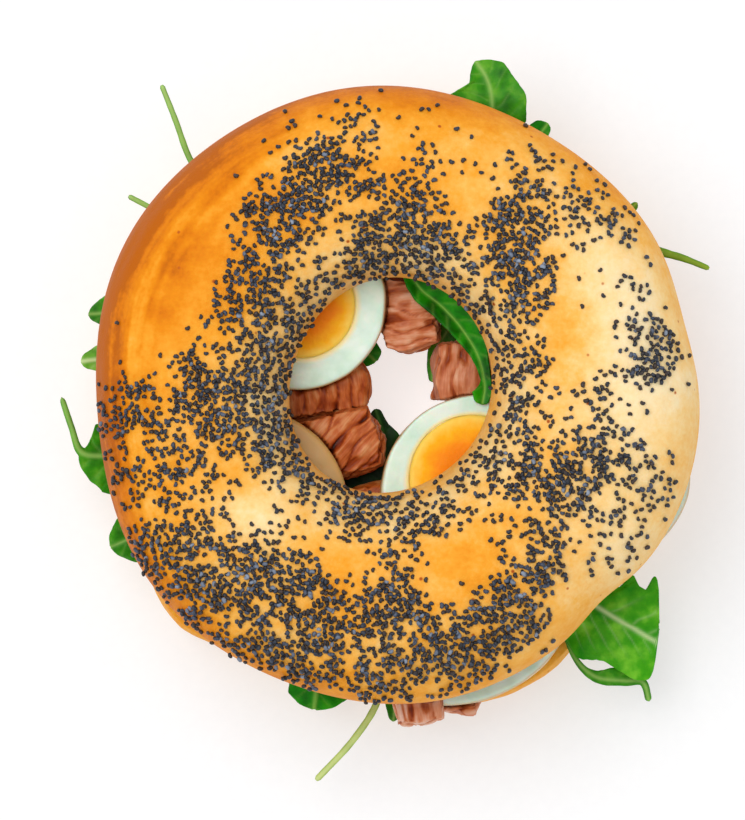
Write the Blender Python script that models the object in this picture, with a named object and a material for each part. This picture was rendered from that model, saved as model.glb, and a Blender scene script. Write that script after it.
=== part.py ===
"""A poppy seed bagel sandwich: two bagel halves round flaked tuna, sliced boiled egg and rocket.

Lengths are in metres, with +Z up and the flat base on Z = 0. The sandwich's box is centred on the
origin, and the bagel's upright axis stands at AXIS, because the rocket sticks out unevenly.
Places given as (x, y) or (x, y, z) are measured from the bagel's axis, in millimetres.
"""

import math
import random
from dataclasses import dataclass

import bmesh
import bpy
from mathutils import Matrix, Vector, noise

MM = 0.001
AXIS = Vector((2.22, 4.76, 0.0)) * MM
GAP = 0.35 * MM
SLOT_GAP = 0.45 * MM

# The bagel: a ring 113 mm across with an off-centre hole, cut in two across its middle.
BAGEL_OUTER = 56.5 * MM
BAGEL_INNER = 19.2 * MM
BASE_CUT = 17.0 * MM
BASE_EQUATOR = 12.0 * MM
LID_CUT = 35.6 * MM
LID_EQUATOR = 39.6 * MM
LID_TOP = 57.5 * MM
CUT_TUCK = 0.045
CROWN_POWER = 2.25
FOOT_POWER = 2.7
FOOT_FLAT = 0.62
LID_STEPS = 44
LID_TURNS = 13
BASE_STEPS = 40
FOOT_TURNS = 8

# Each wave is (waves round the ring, height in mm, angle of a crest in degrees).
OUTER_WAVES = ((1, 0.7, 152), (2, 0.4, 102), (3, 0.7, 4), (5, 0.2, 0), (6, 0.35, -24))
LID_INNER_WAVES = ((1, 2.35, 127), (2, 0.85, 66), (3, 0.3, -22))
BASE_INNER_WAVES = ((1, 1.9, 127), (2, 0.5, 66))
# Each bulge is (angle in degrees, height in mm, half-width in degrees).
OUTER_DENTS = ((-45, -1.5, 8), (15, -1.2, 12))
BASE_BULGES = ((226, 2.6, 9), (-66, 4.4, 20))
BASE_DRAW_IN = 0.9 * MM
CROWN_LUMP = 0.7 * MM
CROWN_LUMP_SIZE = 19 * MM

# Poppy seeds are thick in patches: (x, y, radius) in mm from the bagel's axis.
SEED_PATCHES = (
    (-13, 42, 5), (-19, 35, 4), (-27, 32, 5), (4, 31, 6), (22, 31, 5), (-26, 21, 7), (-11, 26, 5),
    (24, 20, 6), (34, 36, 5), (46, 10, 5), (-23, 6, 5), (-38, 4, 5), (-48, 0, 4), (-30, -4, 7),
    (-40, -14, 5), (-28, -29, 7), (-43, -34, 5), (-33, -47, 5), (-16, -39, 6), (-3, -38, 4),
    (-7, -49, 6), (10, -47, 6), (17, -40, 6), (-6, -20, 4), (4, -24, 3), (22, -13, 4),
    (30, -16, 6), (39, -6, 4), (26, -28, 3), (44, -20, 3), (26, 6, 4), (7, 44, 4),
)
SEED_HALF = Vector((0.66, 0.54, 0.5)) * MM
SEED_COUNT = 100
SEED_SPACING = 3.6 * MM
SEED_SINK = 0.12 * MM
# The turns over the crown between which seeds lie, from the outer equator at 0 to the inner at pi.
SEED_TURNS = (0.32, 2.75)

# The tuna: a ring that fills the space between the halves, with flaked chunks on both sides.
TUNA_OUTER = 49.5 * MM
TUNA_INNER = 21.5 * MM
TUNA_WAVES = ((3, 1.0, 20), (7, 0.8, 5))
TUNA_BULGES = ((-84, 7.5, 7),)
TUNA_POWER = 5.0
TUNA_STEPS = 26
TUNA_CORNERS = 10
RIM_CHUNKS = 11
RIM_ROWS = (22.0 * MM, 30.6 * MM)
RIM_DRAW_IN = 8.8 * MM
CHUNK_SIZE = Vector((11.0, 13.0, 8.6)) * MM
CHUNK_ROUND = 0.38
CHUNK_BALL = 1.12
CHUNK_ROUGH = 0.13
# The noise that roughens the chunks starts anywhere unless it gets a start of its own.
NOISE_START = 5

EGG_THICK = 5.0 * MM
EGG_STEPS = 18
YOLK_STEPS = 16
POCKET_STEPS = 14
EGG_CHAMFER = 0.7 * MM
EGG_CHAMFER_SHARE = 0.16
EGG_UPPER = 31.7 * MM
EGG_LOWER = 24.9 * MM

BLADE_THICK = 0.5 * MM
# A stalk's height as a share of its width, and how far its thickness fades into the blade.
STALK_HEIGHT = 0.85
STALK_FADE = 1.3
FLAT_ANGLE = 2.0
RING_CENTRE = 2.0


@dataclass
class Egg:
    """One slice of boiled egg, with its yolk a little off its middle."""

    label: str
    centre: tuple
    level: float
    radius: float
    yolk: float
    yolk_shift: tuple
    tilt: tuple = (0.0, 0.0)
    length: float = 1.0
    turn: float = 0.0


@dataclass
class Chunk:
    """One flaked chunk of tuna, a rounded block turned about the upright."""

    centre: tuple
    size: tuple
    turn: float


@dataclass
class Leaf:
    """One leaf or stalk of rocket, from inside the sandwich to its tip.

    Left and right are its half-widths in mm at even steps along the spine, as seen from the stalk's
    start looking to the tip.
    """

    name: str
    spine: tuple
    left: tuple
    right: tuple
    stalk: float = 0.5
    fold: float = 0.0
    wave: float = 0.0
    along: int = 6
    across: int = 4


EGGS = (
    Egg("left", (-18.3, 17.5), EGG_UPPER, 16.3, 9.7, (0.9, -0.6), tilt=(2.5, -2.0)),
    Egg("right", (15.4, -18.3), EGG_UPPER, 18.5, 11.8, (-1.4, 2.9), tilt=(-1.5, 2.0)),
    Egg("front", (-27.2, -20.5), EGG_UPPER, 18.0, 11.1, (-0.8, -0.6), tilt=(1.0, 1.5)),
    Egg("rim_front", (11.6, -40.2), EGG_LOWER, 17.2, 10.2, (0.5, 1.0), length=1.25, turn=16),
    Egg("rim_right", (39.4, -15.2), EGG_LOWER, 15.0, 8.6, (-0.5, 0.4), tilt=(0.0, -0.8)),
)

# The five chunks that show in the hole, then those that carry the egg slices beside it.
HOLE_CHUNKS = (
    Chunk((2.2, 16.4, 27.0), (10.5, 15.5, 10.0), 6),
    Chunk((15.3, 4.0, 25.6), (17.0, 11.2, 9.6), -4),
    Chunk((-14.2, 1.2, 24.6), (17.5, 9.0, 8.2), 8),
    Chunk((-10.6, -8.8, 25.6), (15.0, 12.0, 10.2), 14),
    Chunk((-16.5, -5.5, 22.0), (9.0, 8.0, 7.0), 15),
    Chunk((-13.5, 13.5, 23.8), (13.0, 9.0, 8.5), -45),
    Chunk((14.5, -13.5, 24.4), (12.0, 10.0, 8.0), -48),
    Chunk((-2.5, -20.5, 24.8), (11.0, 9.0, 7.6), 10),
)
# Chunks that stick out past the bagel's front edge.
FRONT_CHUNKS = (
    Chunk((3.6, -55.0, 25.4), (8.5, 11.5, 6.5), 8),
    Chunk((11.0, -53.9, 21.0), (9.5, 9.5, 5.6), -12),
)

LEAVES = (
    Leaf("leaf_back", ((17, 43, 29.5), (17.6, 50, 30), (17.6, 55, 30.5), (16.6, 59, 30), (14.6, 62, 29.5)),
         (0.6, 4.6, 7.2, 7.8, 7.8, 7.8, 7.8, 7.6, 3.2, 2.4, 0.6),
         (0.6, 3.4, 5.4, 6.1, 6.2, 6.2, 5.3, 4.4, 4.0, 2.5, 0.5), 0.6, fold=0.12, wave=0.4, along=10),
    Leaf("leaf_back_small", ((22, 43, 26.5), (25, 46.5, 26.8), (28, 50.6, 26.4)),
         (0.5, 2.0, 2.4, 2.6, 1.6), (0.5, 1.3, 1.6, 1.6, 1.0), 0.4, fold=0.15, along=4),
    Leaf("stalk_back_long", ((-34, 37, 27.5), (-38.4, 44, 27.8), (-41, 51, 29), (-43.6, 57.6, 30.4)),
         (0.65, 0.6, 0.5), (0.65, 0.6, 0.5), 0.62, along=7, across=2),
    Leaf("stalk_back_short", ((-40, 31.5, 23.6), (-45.5, 34.8, 23.8), (-49.8, 37.1, 24.4)),
         (0.55, 0.5), (0.55, 0.5), 0.55, along=4, across=2),
    Leaf("leaf_left_upper", ((-46, 14.6, 20.2), (-51, 15.5, 20.4), (-57.3, 15.2, 20.9)),
         (0.6, 2.2, 2.6, 2.5, 1.0), (0.6, 2.4, 3.2, 3.2, 0.9), fold=0.15, wave=0.3, along=5),
    Leaf("leaf_left_lower", ((-47, 7, 20.8), (-52, 7.2, 21.1), (-58.7, 6.4, 21.6)),
         (0.6, 1.8, 2.4, 2.4, 1.0), (0.6, 2.0, 2.6, 2.6, 1.0), fold=-0.12, wave=0.2, along=5),
    Leaf("leaf_left_stalk", ((-44, -12, 21), (-49, -11.6, 21), (-54, -11.2, 21.4), (-58.6, -10.4, 22.2),
                             (-60.4, -5.8, 23.8), (-62.2, -0.3, 25.4)),
         (1.0, 5.0, 6.4, 6.9, 6.6, 4.8, 0.8, 0.6, 0.55, 0.55, 0.5),
         (1.0, 5.0, 6.2, 6.4, 6.4, 5.6, 0.9, 0.6, 0.55, 0.55, 0.5), 0.6, fold=-0.16, along=12),
    Leaf("leaf_front_left", ((-42, -22.6, 18.7), (-47.5, -25.5, 19), (-53.2, -28, 18.8)),
         (0.8, 3.6, 4.8, 4.4, 1.4), (0.8, 3.6, 4.6, 4.2, 1.6), 0.5, fold=0.3, wave=0.3, along=6),
    Leaf("leaf_front", ((-13.4, -46, 19.2), (-14.6, -52, 19.4), (-15.4, -58.2, 18.8)),
         (0.8, 3.6, 5.4, 6.0, 5.8, 2.6), (0.8, 3.4, 4.8, 5.2, 5.0, 2.2), 0.5, fold=-0.2, wave=0.3,
         along=6),
    Leaf("leaf_front_small", ((1.6, -48.5, 18.7), (0.2, -54, 18.9), (-0.7, -60.5, 18.7)),
         (0.5, 1.2, 1.6, 1.6, 0.6), (0.5, 1.4, 1.9, 1.9, 0.7), 0.4, fold=0.2, along=5),
    Leaf("stalk_front", ((-2.6, -48.5, 20.7), (-3.6, -56.6, 21), (-8.2, -64, 19.6), (-15, -71.4, 16.6)),
         (0.72, 0.68, 0.6), (0.72, 0.68, 0.6), 0.68, along=9, across=2),
    Leaf("leaf_right_front", ((30.5, -41.6, 19.3), (36, -42, 19.4), (42.5, -42.6, 19.2), (48.6, -42.9, 18.2)),
         (3, 5, 6, 6.6, 6.8, 6.8, 6.8, 6.8, 6.9, 8.2, 9.3, 7.2, 6.6, 9.2, 8.8),
         (2.4, 3.8, 5.4, 6.6, 6.9, 6.9, 6.8, 6.9, 7.6, 8.4, 9.2, 9.8, 9.9, 9.6, 7.5), 0.6, fold=0.05,
         wave=0.35, along=14),
    Leaf("stalk_right_front", ((31, -43.6, 17.95), (33.3, -48.9, 17.9), (37, -52.2, 17.4), (42, -52.9, 16.9),
                               (45.7, -53.2, 16.5), (46.9, -56.7, 15.6)),
         (0.5, 0.5, 0.5, 0.55, 1.2, 2.2, 2.5, 2.0, 0.7, 0.65, 0.6),
         (0.5, 0.5, 0.55, 0.8, 1.0, 1.1, 1.0, 0.9, 0.7, 0.65, 0.6), 0.5, along=11),
    Leaf("stalk_right", ((41, 30.6, 20.6), (48, 27.2, 20.9), (53.2, 25.6, 20.8), (58, 23.7, 20.2)),
         (0.9, 0.9, 1.0, 0.7, 0.5), (0.9, 0.9, 1.0, 0.7, 0.5), 0.8, along=6, across=2),
    Leaf("leaf_right_small", ((38, 30, 24.2), (41.5, 33, 24.4), (44.6, 35.9, 24.2)),
         (0.5, 0.9, 0.5), (0.5, 1.6, 0.6), 0.4, fold=0.2, along=4, across=2),
    Leaf("leaf_hole_upper", ((1.5, 23.9, 33.1), (4.6, 19.6, 33.2), (8.7, 16.2, 33.3), (12.3, 12, 33.5),
                             (15, 7.3, 34), (16.2, 2, 34.4), (15.8, -1.6, 34.6)),
         (1.0, 2.0, 2.3, 2.7, 2.9, 3.0, 2.6, 1.6, 1.3, 1.4, 0.9),
         (1.0, 1.8, 2.2, 2.3, 2.4, 2.3, 1.9, 1.4, 0.5, 2.3, 1.3), 0.4, fold=0.35, along=12),
    Leaf("leaf_hole_left", ((-14, 17, 18.7), (-9.6, 12.4, 18.9), (-3.9, 6.4, 19.2)),
         (0.8, 2.0, 2.6, 2.8, 2.0), (0.8, 2.0, 2.4, 2.6, 2.0), 0.4, wave=0.2, along=5),
    Leaf("leaf_hole_right", ((14, 18.5, 18.6), (9, 11.5, 18.9), (6.9, 6.5, 19.2), (6.6, 2.6, 19.3)),
         (0.6, 2.4, 2.2, 1.5, 0.5), (0.6, 1.6, 1.8, 1.1, 0.6), 0.4, fold=0.15, along=6),
    Leaf("leaf_hole_front", ((-0.4, -23, 18.7), (-2, -15, 18.9), (-2.4, -8, 19.1), (-4, -2.4, 19.3)),
         (0.8, 7.0, 7.2, 4.6, 2.4, 0.8), (0.8, 3.5, 5.0, 4.0, 1.4, 0.8), 0.4, fold=-0.05, wave=0.2,
         along=6),
)

CRUST = ((0.78, 0.36, 0.08), 0.45)
TUNA = ((0.55, 0.27, 0.17), 0.6)
EGG_WHITE = ((0.9, 0.92, 0.86), 0.3)
EGG_YOLK = ((0.95, 0.55, 0.06), 0.55)
LEAF_GREEN = ((0.06, 0.25, 0.03), 0.45)
STALK_GREEN = ((0.42, 0.58, 0.16), 0.45)


def clear_scene():
    """Removes every object that the scene starts with."""
    for obj in list(bpy.data.objects):
        bpy.data.objects.remove(obj)


def material(name, look):
    """A plain material of one colour and roughness."""
    colour, roughness = look
    made = bpy.data.materials.get(name) or bpy.data.materials.new(name)
    made.use_nodes = True
    shader = made.node_tree.nodes["Principled BSDF"]
    shader.inputs["Base Color"].default_value = (*colour, 1.0)
    shader.inputs["Roughness"].default_value = roughness
    return made


def new_object(name, bm, place=None):
    """Turns a bmesh into an object of the scene, moved by a matrix and then to the bagel's axis."""
    bmesh.ops.transform(bm, matrix=place or Matrix.Identity(4), verts=bm.verts)
    mesh = bpy.data.meshes.new(name)
    bm.to_mesh(mesh)
    bm.free()
    obj = bpy.data.objects.new(name, mesh)
    obj.location = AXIS
    bpy.context.scene.collection.objects.link(obj)
    return obj


def finish(obj, look_name, look):
    """Gives an object its material and smooth shading with sharp edges kept."""
    obj.data.materials.append(material(look_name, look))
    obj.data.shade_smooth()
    obj.data.set_sharp_from_angle(angle=math.radians(50))


def apply_modifiers(obj):
    """Replaces an object's mesh with the one that its modifiers make."""
    graph = bpy.context.evaluated_depsgraph_get()
    made = bpy.data.meshes.new_from_object(obj.evaluated_get(graph))
    obj.modifiers.clear()
    obj.data = made


def combine(obj, others, operation):
    """Joins the others to an object, or cuts them from it, with one Boolean, and removes them."""
    group = bpy.data.collections.new("pieces")
    bpy.context.scene.collection.children.link(group)
    for other in others:
        bpy.context.scene.collection.objects.unlink(other)
        group.objects.link(other)
    boolean = obj.modifiers.new("combine", "BOOLEAN")
    boolean.operation = operation
    boolean.operand_type = "COLLECTION"
    boolean.collection = group
    boolean.solver = "EXACT"
    bpy.context.view_layer.update()
    apply_modifiers(obj)
    for other in others:
        bpy.data.objects.remove(other)
    bpy.data.collections.remove(group)


def merge_flat_faces(obj):
    """Joins the neighbouring faces that a cut leaves in one plane, then splits all into triangles."""
    bm = bmesh.new()
    bm.from_mesh(obj.data)
    bmesh.ops.dissolve_limit(bm, angle_limit=math.radians(FLAT_ANGLE), verts=bm.verts, edges=bm.edges)
    bmesh.ops.triangulate(bm, faces=bm.faces)
    bm.to_mesh(obj.data)
    bm.free()


def keep_largest_shell(obj):
    """Drops loose scraps and fills sealed hollows, by keeping only the largest closed shell."""
    bm = bmesh.new()
    bm.from_mesh(obj.data)
    unseen = set(bm.faces)
    shells = []
    while unseen:
        start = unseen.pop()
        shell = {start}
        waiting = [start]
        while waiting:
            for edge in waiting.pop().edges:
                for face in edge.link_faces:
                    if face in unseen:
                        unseen.remove(face)
                        shell.add(face)
                        waiting.append(face)
        shells.append(shell)
    largest = max(shells, key=len)
    bmesh.ops.delete(bm, geom=[face for face in bm.faces if face not in largest], context="FACES")
    bm.to_mesh(obj.data)
    bm.free()


def waved(mean, waves, bulges, angle):
    """The radius at an angle of a ring's outline, from its mean radius, waves and bulges."""
    radius = mean
    for count, height, crest in waves:
        radius += height * MM * math.cos(count * (angle - math.radians(crest)))
    for centre, height, width in bulges:
        off = (math.degrees(angle) - centre + 180) % 360 - 180
        radius += height * MM * math.exp(-((off / width) ** 2))
    return radius


def ring(profile, steps, outer, inner):
    """Spins a closed cross-section once round the axis.

    The cross-section's points are (side, height). Side runs from -1 on the inner outline to 1 on the
    outer one, and outer and inner give those outlines' radii at an angle.
    """
    bm = bmesh.new()
    corners = [bm.verts.new((RING_CENTRE + side, 0.0, height)) for side, height in profile]
    rim = [bm.edges.new(pair) for pair in zip(corners, corners[1:] + corners[:1])]
    bmesh.ops.spin(bm, geom=corners + rim, axis=(0, 0, 1), cent=(0, 0, 0), steps=steps,
                   angle=math.tau, use_merge=True)
    bmesh.ops.remove_doubles(bm, verts=bm.verts, dist=1e-5)
    bmesh.ops.recalc_face_normals(bm, faces=bm.faces)
    for vert in bm.verts:
        angle = math.atan2(vert.co.y, vert.co.x)
        side = math.hypot(vert.co.x, vert.co.y) - RING_CENTRE
        middle = (outer(angle) + inner(angle)) / 2
        reach = middle + side * (outer(angle) - inner(angle)) / 2
        vert.co.x = reach * math.cos(angle)
        vert.co.y = reach * math.sin(angle)
    return bm


def rounded(turn, power):
    """A point on a unit superellipse, as (side, height), at a turn from its outer end."""
    side = math.copysign(abs(math.cos(turn)) ** (2 / power), math.cos(turn))
    return side, abs(math.sin(turn)) ** (2 / power)


def lid_outer(angle):
    """The radius of the top half's outer outline at an angle."""
    return waved(BAGEL_OUTER, OUTER_WAVES, OUTER_DENTS, angle)


def lid_inner(angle):
    """The radius of the top half's hole at an angle."""
    return waved(BAGEL_INNER, LID_INNER_WAVES, (), angle)


def base_outer(angle):
    """The radius of the bottom half's outer outline at an angle."""
    return waved(BAGEL_OUTER - BASE_DRAW_IN, OUTER_WAVES, OUTER_DENTS + BASE_BULGES, angle)


def base_inner(angle):
    """The radius of the bottom half's hole at an angle."""
    return waved(BAGEL_INNER, BASE_INNER_WAVES, (), angle)


def tuna_outer(angle):
    """The radius of the tuna's outer outline at an angle."""
    return waved(TUNA_OUTER, TUNA_WAVES, TUNA_BULGES, angle)


def tuna_inner(angle):
    """The radius of the tuna's hole at an angle."""
    return waved(TUNA_INNER, TUNA_WAVES, (), angle)


def lumped(point):
    """A point of the crown, raised or lowered by the dough's broad lumps."""
    share = max(0.0, min(1.0, (point.z - LID_CUT) / (LID_TOP - LID_CUT)))
    return point + Vector((0, 0, CROWN_LUMP * share * noise.noise(point / CROWN_LUMP_SIZE)))


def crown_point(angle, turn):
    """A point of the top half's crust, at a turn from its outer equator over to the inner one."""
    side, height = rounded(turn, CROWN_POWER)
    middle = (lid_outer(angle) + lid_inner(angle)) / 2
    reach = middle + side * (lid_outer(angle) - lid_inner(angle)) / 2
    z = LID_EQUATOR + height * (LID_TOP - LID_EQUATOR)
    return lumped(Vector((reach * math.cos(angle), reach * math.sin(angle), z)))


def seed_thickness(point):
    """How thickly the seeds lie at a point of the crown: the nearest patch's strength, 0 to 1."""
    return max(
        math.exp(-(((point.x / MM - x) ** 2 + (point.y / MM - y) ** 2) / radius**2))
        for x, y, radius in SEED_PATCHES
    )


def seed(point, normal, turn):
    """A poppy seed half sunk in the crust, lying along its surface."""
    bm = bmesh.new()
    bmesh.ops.create_icosphere(bm, subdivisions=1, radius=1.0)
    lie = normal.to_track_quat("Z", "Y").to_matrix().to_4x4()
    place = Matrix.Translation(point - normal * SEED_SINK) @ lie @ Matrix.Rotation(turn, 4, "Z")
    return new_object("seed", bm, place @ Matrix.Diagonal((*SEED_HALF, 1.0)))


def crown_seeds():
    """Seeds scattered over the crown where they lie thickest, none closer than the spacing."""
    draw = random.Random(7)
    taken = []
    seeds = []
    step = 0.01
    while len(seeds) < SEED_COUNT:
        angle = draw.uniform(-math.pi, math.pi)
        turn = draw.uniform(*SEED_TURNS)
        point = crown_point(angle, turn)
        keep = draw.random() < seed_thickness(point) ** 0.5 * math.hypot(point.x, point.y) / BAGEL_OUTER
        if not keep or any((point - other).length < SEED_SPACING for other in taken):
            continue
        taken.append(point)
        round_ring = crown_point(angle + step, turn) - point
        over_crown = crown_point(angle, turn + step) - point
        normal = over_crown.cross(round_ring).normalized()
        seeds.append(seed(point, -normal if normal.z < 0 else normal, draw.uniform(0, math.pi)))
    return seeds


def make_lid():
    """The top half: a domed ring with a flat cut face and its poppy seeds."""
    crown = [rounded(math.pi * step / LID_TURNS, CROWN_POWER) for step in range(LID_TURNS + 1)]
    profile = [(side, LID_EQUATOR + height * (LID_TOP - LID_EQUATOR)) for side, height in crown]
    profile += [(-1 + CUT_TUCK, LID_CUT), (0.0, LID_CUT), (1 - CUT_TUCK, LID_CUT)]
    bm = ring(profile, LID_STEPS, lid_outer, lid_inner)
    for vert in bm.verts:
        vert.co = lumped(vert.co)
    lid = new_object("bun_top", bm)
    combine(lid, crown_seeds(), "UNION")
    keep_largest_shell(lid)
    finish(lid, "crust", CRUST)


def make_base():
    """The bottom half: a flat cut face over a rounded foot with a flat underside."""
    foot = [rounded(math.pi * step / FOOT_TURNS, FOOT_POWER) for step in range(FOOT_TURNS + 1)]
    profile = [(1 - CUT_TUCK, BASE_CUT), (0.0, BASE_CUT), (-1 + CUT_TUCK, BASE_CUT)]
    for side, depth in reversed(foot):
        flat = abs(side) < FOOT_FLAT
        profile.append((side, 0.0 if flat else BASE_EQUATOR * (1 - depth)))
    bm = ring(profile, BASE_STEPS, base_outer, base_inner)
    base = new_object("bun_bottom", bm)
    finish(base, "crust", CRUST)


def chunk(spec):
    """A rounded, uneven block of flaked tuna."""
    bm = bmesh.new()
    bmesh.ops.create_cube(bm, size=2.0)
    bmesh.ops.subdivide_edges(bm, edges=bm.edges, cuts=1, use_grid_fill=True)
    centre = Vector(spec.centre)
    for vert in bm.verts:
        vert.co = vert.co.lerp(vert.co.normalized() * CHUNK_BALL, CHUNK_ROUND)
        vert.co += noise.noise_vector(vert.co + centre) * CHUNK_ROUGH
    size = Vector(spec.size) * MM / 2
    turn = Matrix.Rotation(math.radians(spec.turn), 4, "Z")
    place = Matrix.Translation(centre * MM) @ turn @ Matrix.Diagonal((*size, 1.0))
    bmesh.ops.transform(bm, matrix=place, verts=bm.verts)
    for vert in bm.verts:
        vert.co.z = max(BASE_CUT + 2 * GAP, min(LID_CUT - 2 * GAP, vert.co.z))
    return new_object("chunk", bm)


def rim_chunks():
    """Chunks in two staggered rows round the outside of the tuna, where the bagel shows them."""
    draw = random.Random(3)
    chunks = []
    for row, height in enumerate(RIM_ROWS):
        for count in range(RIM_CHUNKS):
            angle = math.tau * (count + row / 2 + draw.uniform(-0.15, 0.15)) / RIM_CHUNKS
            reach = (lid_outer(angle) - RIM_DRAW_IN) / MM + draw.uniform(-1.2, 1.2)
            lift = height / MM + draw.uniform(-0.5, 0.5)
            centre = (reach * math.cos(angle), reach * math.sin(angle), lift)
            size = tuple(side / MM * draw.uniform(0.85, 1.1) for side in CHUNK_SIZE)
            chunks.append(chunk(Chunk(centre, size, math.degrees(angle) + draw.uniform(-25, 25))))
    return chunks


def egg_place(egg):
    """Where an egg slice lies: its middle, its tilt and its turn."""
    x, y = egg.centre
    tilt_x, tilt_y = egg.tilt
    lean = Matrix.Rotation(math.radians(tilt_x), 4, "X") @ Matrix.Rotation(math.radians(tilt_y), 4, "Y")
    place = Matrix.Translation((x * MM, y * MM, egg.level))
    turn = Matrix.Rotation(math.radians(egg.turn), 4, "Z")
    return place @ lean @ turn @ Matrix.Diagonal((egg.length, 1.0, 1.0, 1.0))


def yolk_edge(egg, angle):
    """The distance from a slice's middle to the round hole of its yolk, at an angle."""
    shift_x, shift_y = egg.yolk_shift
    off = math.hypot(shift_x, shift_y)
    turn = angle - math.atan2(shift_y, shift_x)
    return (off * math.cos(turn) + math.sqrt(egg.yolk**2 - (off * math.sin(turn)) ** 2)) * MM


def make_egg(egg):
    """One egg slice: a white ring and the yolk in its hole, each its own object."""
    half = EGG_THICK / 2
    edge = 1 - EGG_CHAMFER_SHARE
    profile = [(-1.0, -half), (edge, -half), (1.0, EGG_CHAMFER - half), (1.0, half - EGG_CHAMFER),
               (edge, half), (-1.0, half)]
    white = ring(profile, EGG_STEPS, lambda _: egg.radius * MM, lambda angle: yolk_edge(egg, angle))
    finish(new_object(f"egg_white_{egg.label}", white, egg_place(egg)), "egg_white", EGG_WHITE)
    radius = egg.yolk * MM - 1.5 * GAP
    yolk = bmesh.new()
    bmesh.ops.create_cone(yolk, cap_ends=True, cap_tris=True, segments=YOLK_STEPS,
                          radius1=radius, radius2=radius, depth=EGG_THICK)
    shift = Matrix.Translation((egg.yolk_shift[0] * MM, egg.yolk_shift[1] * MM, 0))
    finish(new_object(f"egg_yolk_{egg.label}", yolk, egg_place(egg) @ shift), "egg_yolk", EGG_YOLK)


def egg_pocket(egg):
    """A plain disc a little larger than an egg slice, to cut its pocket in the tuna."""
    bm = bmesh.new()
    radius = (egg.radius * MM + GAP) / math.cos(math.pi / POCKET_STEPS)
    bmesh.ops.create_cone(bm, cap_ends=True, segments=POCKET_STEPS, radius1=radius,
                          radius2=radius, depth=EGG_THICK + 2 * GAP)
    return new_object("pocket", bm, egg_place(egg))


def along_spine(points, share):
    """A point on the smooth curve through a leaf's spine points, carried straight on past its ends."""
    last = len(points) - 1
    place = share * last
    if place < 0:
        return points[0] + (points[1] - points[0]) * place
    if place > last:
        return points[last] + (points[last] - points[last - 1]) * (place - last)
    first = min(int(place), last - 1)
    t = place - first
    start, end = points[first], points[first + 1]
    before = points[first - 1] if first else 2 * start - end
    after = points[first + 2] if first + 2 <= last else 2 * end - start
    return 0.5 * (
        2 * start
        + (end - before) * t
        + (2 * before - 5 * start + 4 * end - after) * t**2
        + (3 * start - before - 3 * end + after) * t**3
    )


def half_width(widths, share):
    """Half of a leaf's width on one side, in mm, at a share of its length."""
    place = max(0.0, min(1.0, share)) * (len(widths) - 1)
    first = min(int(place), len(widths) - 2)
    return widths[first] + (widths[first + 1] - widths[first]) * (place - first)


def leaf_point(leaf, share, across, extra):
    """A point of a leaf's middle surface, at a share of its length and across it from -1 to 1."""
    points = [Vector(point) for point in leaf.spine]
    here = along_spine(points, share)
    ahead = along_spine(points, share + 0.01) - along_spine(points, share - 0.01)
    sideways = Vector((0, 0, 1)).cross(ahead).normalized()
    width = half_width(leaf.left if across > 0 else leaf.right, share) + extra / MM
    rise = leaf.fold * abs(across) * width
    rise += leaf.wave * abs(across) * math.sin(7 * share + 2 * across) * min(1.0, width / 3)
    return (here + sideways * across * width + Vector((0, 0, rise))) * MM


def leaf_object(leaf, name, extra=0.0):
    """A leaf as a thin wavy solid: a triangulated sheet, thick along its stalk, made solid."""
    bm = bmesh.new()
    across = leaf.across if extra == 0 else 2
    bmesh.ops.create_grid(bm, x_segments=leaf.along, y_segments=across, size=1.0)
    bmesh.ops.triangulate(bm, faces=bm.faces)
    stalk_thick = 2 * leaf.stalk * MM * STALK_HEIGHT + 2 * extra
    blade_thick = BLADE_THICK + 2 * extra
    thickest = max(stalk_thick, blade_thick)
    ends = [Vector(point) for point in leaf.spine]
    overrun = 1.5 * extra / MM / sum((b - a).length for a, b in zip(ends, ends[1:]))
    shares = []
    for vert in bm.verts:
        share, across = (vert.co.x + 1) / 2, vert.co.y
        share += overrun * vert.co.x
        width = half_width(leaf.left if across > 0 else leaf.right, share)
        off_stalk = abs(across) * width / leaf.stalk
        fade = math.exp(-((off_stalk / STALK_FADE) ** 2))
        shares.append((blade_thick + (thickest - blade_thick) * fade) / thickest)
        vert.co = leaf_point(leaf, share, across, extra)
    obj = new_object(name, bm)
    group = obj.vertex_groups.new(name="thickness")
    for index, share in enumerate(shares):
        group.add([index], share, "REPLACE")
    solid = obj.modifiers.new("solid", "SOLIDIFY")
    solid.thickness = thickest
    solid.offset = 0.0
    solid.vertex_group = "thickness"
    bpy.context.view_layer.update()
    apply_modifiers(obj)
    return obj


def make_leaves():
    """Every leaf and stalk of rocket, each its own object."""
    for leaf in LEAVES:
        obj = leaf_object(leaf, leaf.name)
        if leaf.name.startswith("leaf"):
            finish(obj, "rocket", LEAF_GREEN)
        else:
            finish(obj, "stalk", STALK_GREEN)


def make_tuna():
    """The tuna: a lumpy ring with its chunks, cut away round the egg slices and the rocket."""
    low, high = BASE_CUT + GAP, LID_CUT - GAP
    profile = []
    for corner in range(TUNA_CORNERS):
        turn = math.tau * (corner + 0.5) / TUNA_CORNERS
        side, height = rounded(turn, TUNA_POWER)
        height = math.copysign(height, math.sin(turn))
        profile.append((side, (low + high) / 2 + height * (high - low) / 2))
    tuna = new_object("tuna", ring(profile, TUNA_STEPS, tuna_outer, tuna_inner))
    chunks = [chunk(spec) for spec in HOLE_CHUNKS + FRONT_CHUNKS] + rim_chunks()
    combine(tuna, chunks, "UNION")
    cutters = [egg_pocket(egg) for egg in EGGS]
    cutters += [leaf_object(leaf, "slot", SLOT_GAP) for leaf in LEAVES]
    combine(tuna, cutters, "DIFFERENCE")
    merge_flat_faces(tuna)
    keep_largest_shell(tuna)
    finish(tuna, "tuna", TUNA)


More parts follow.
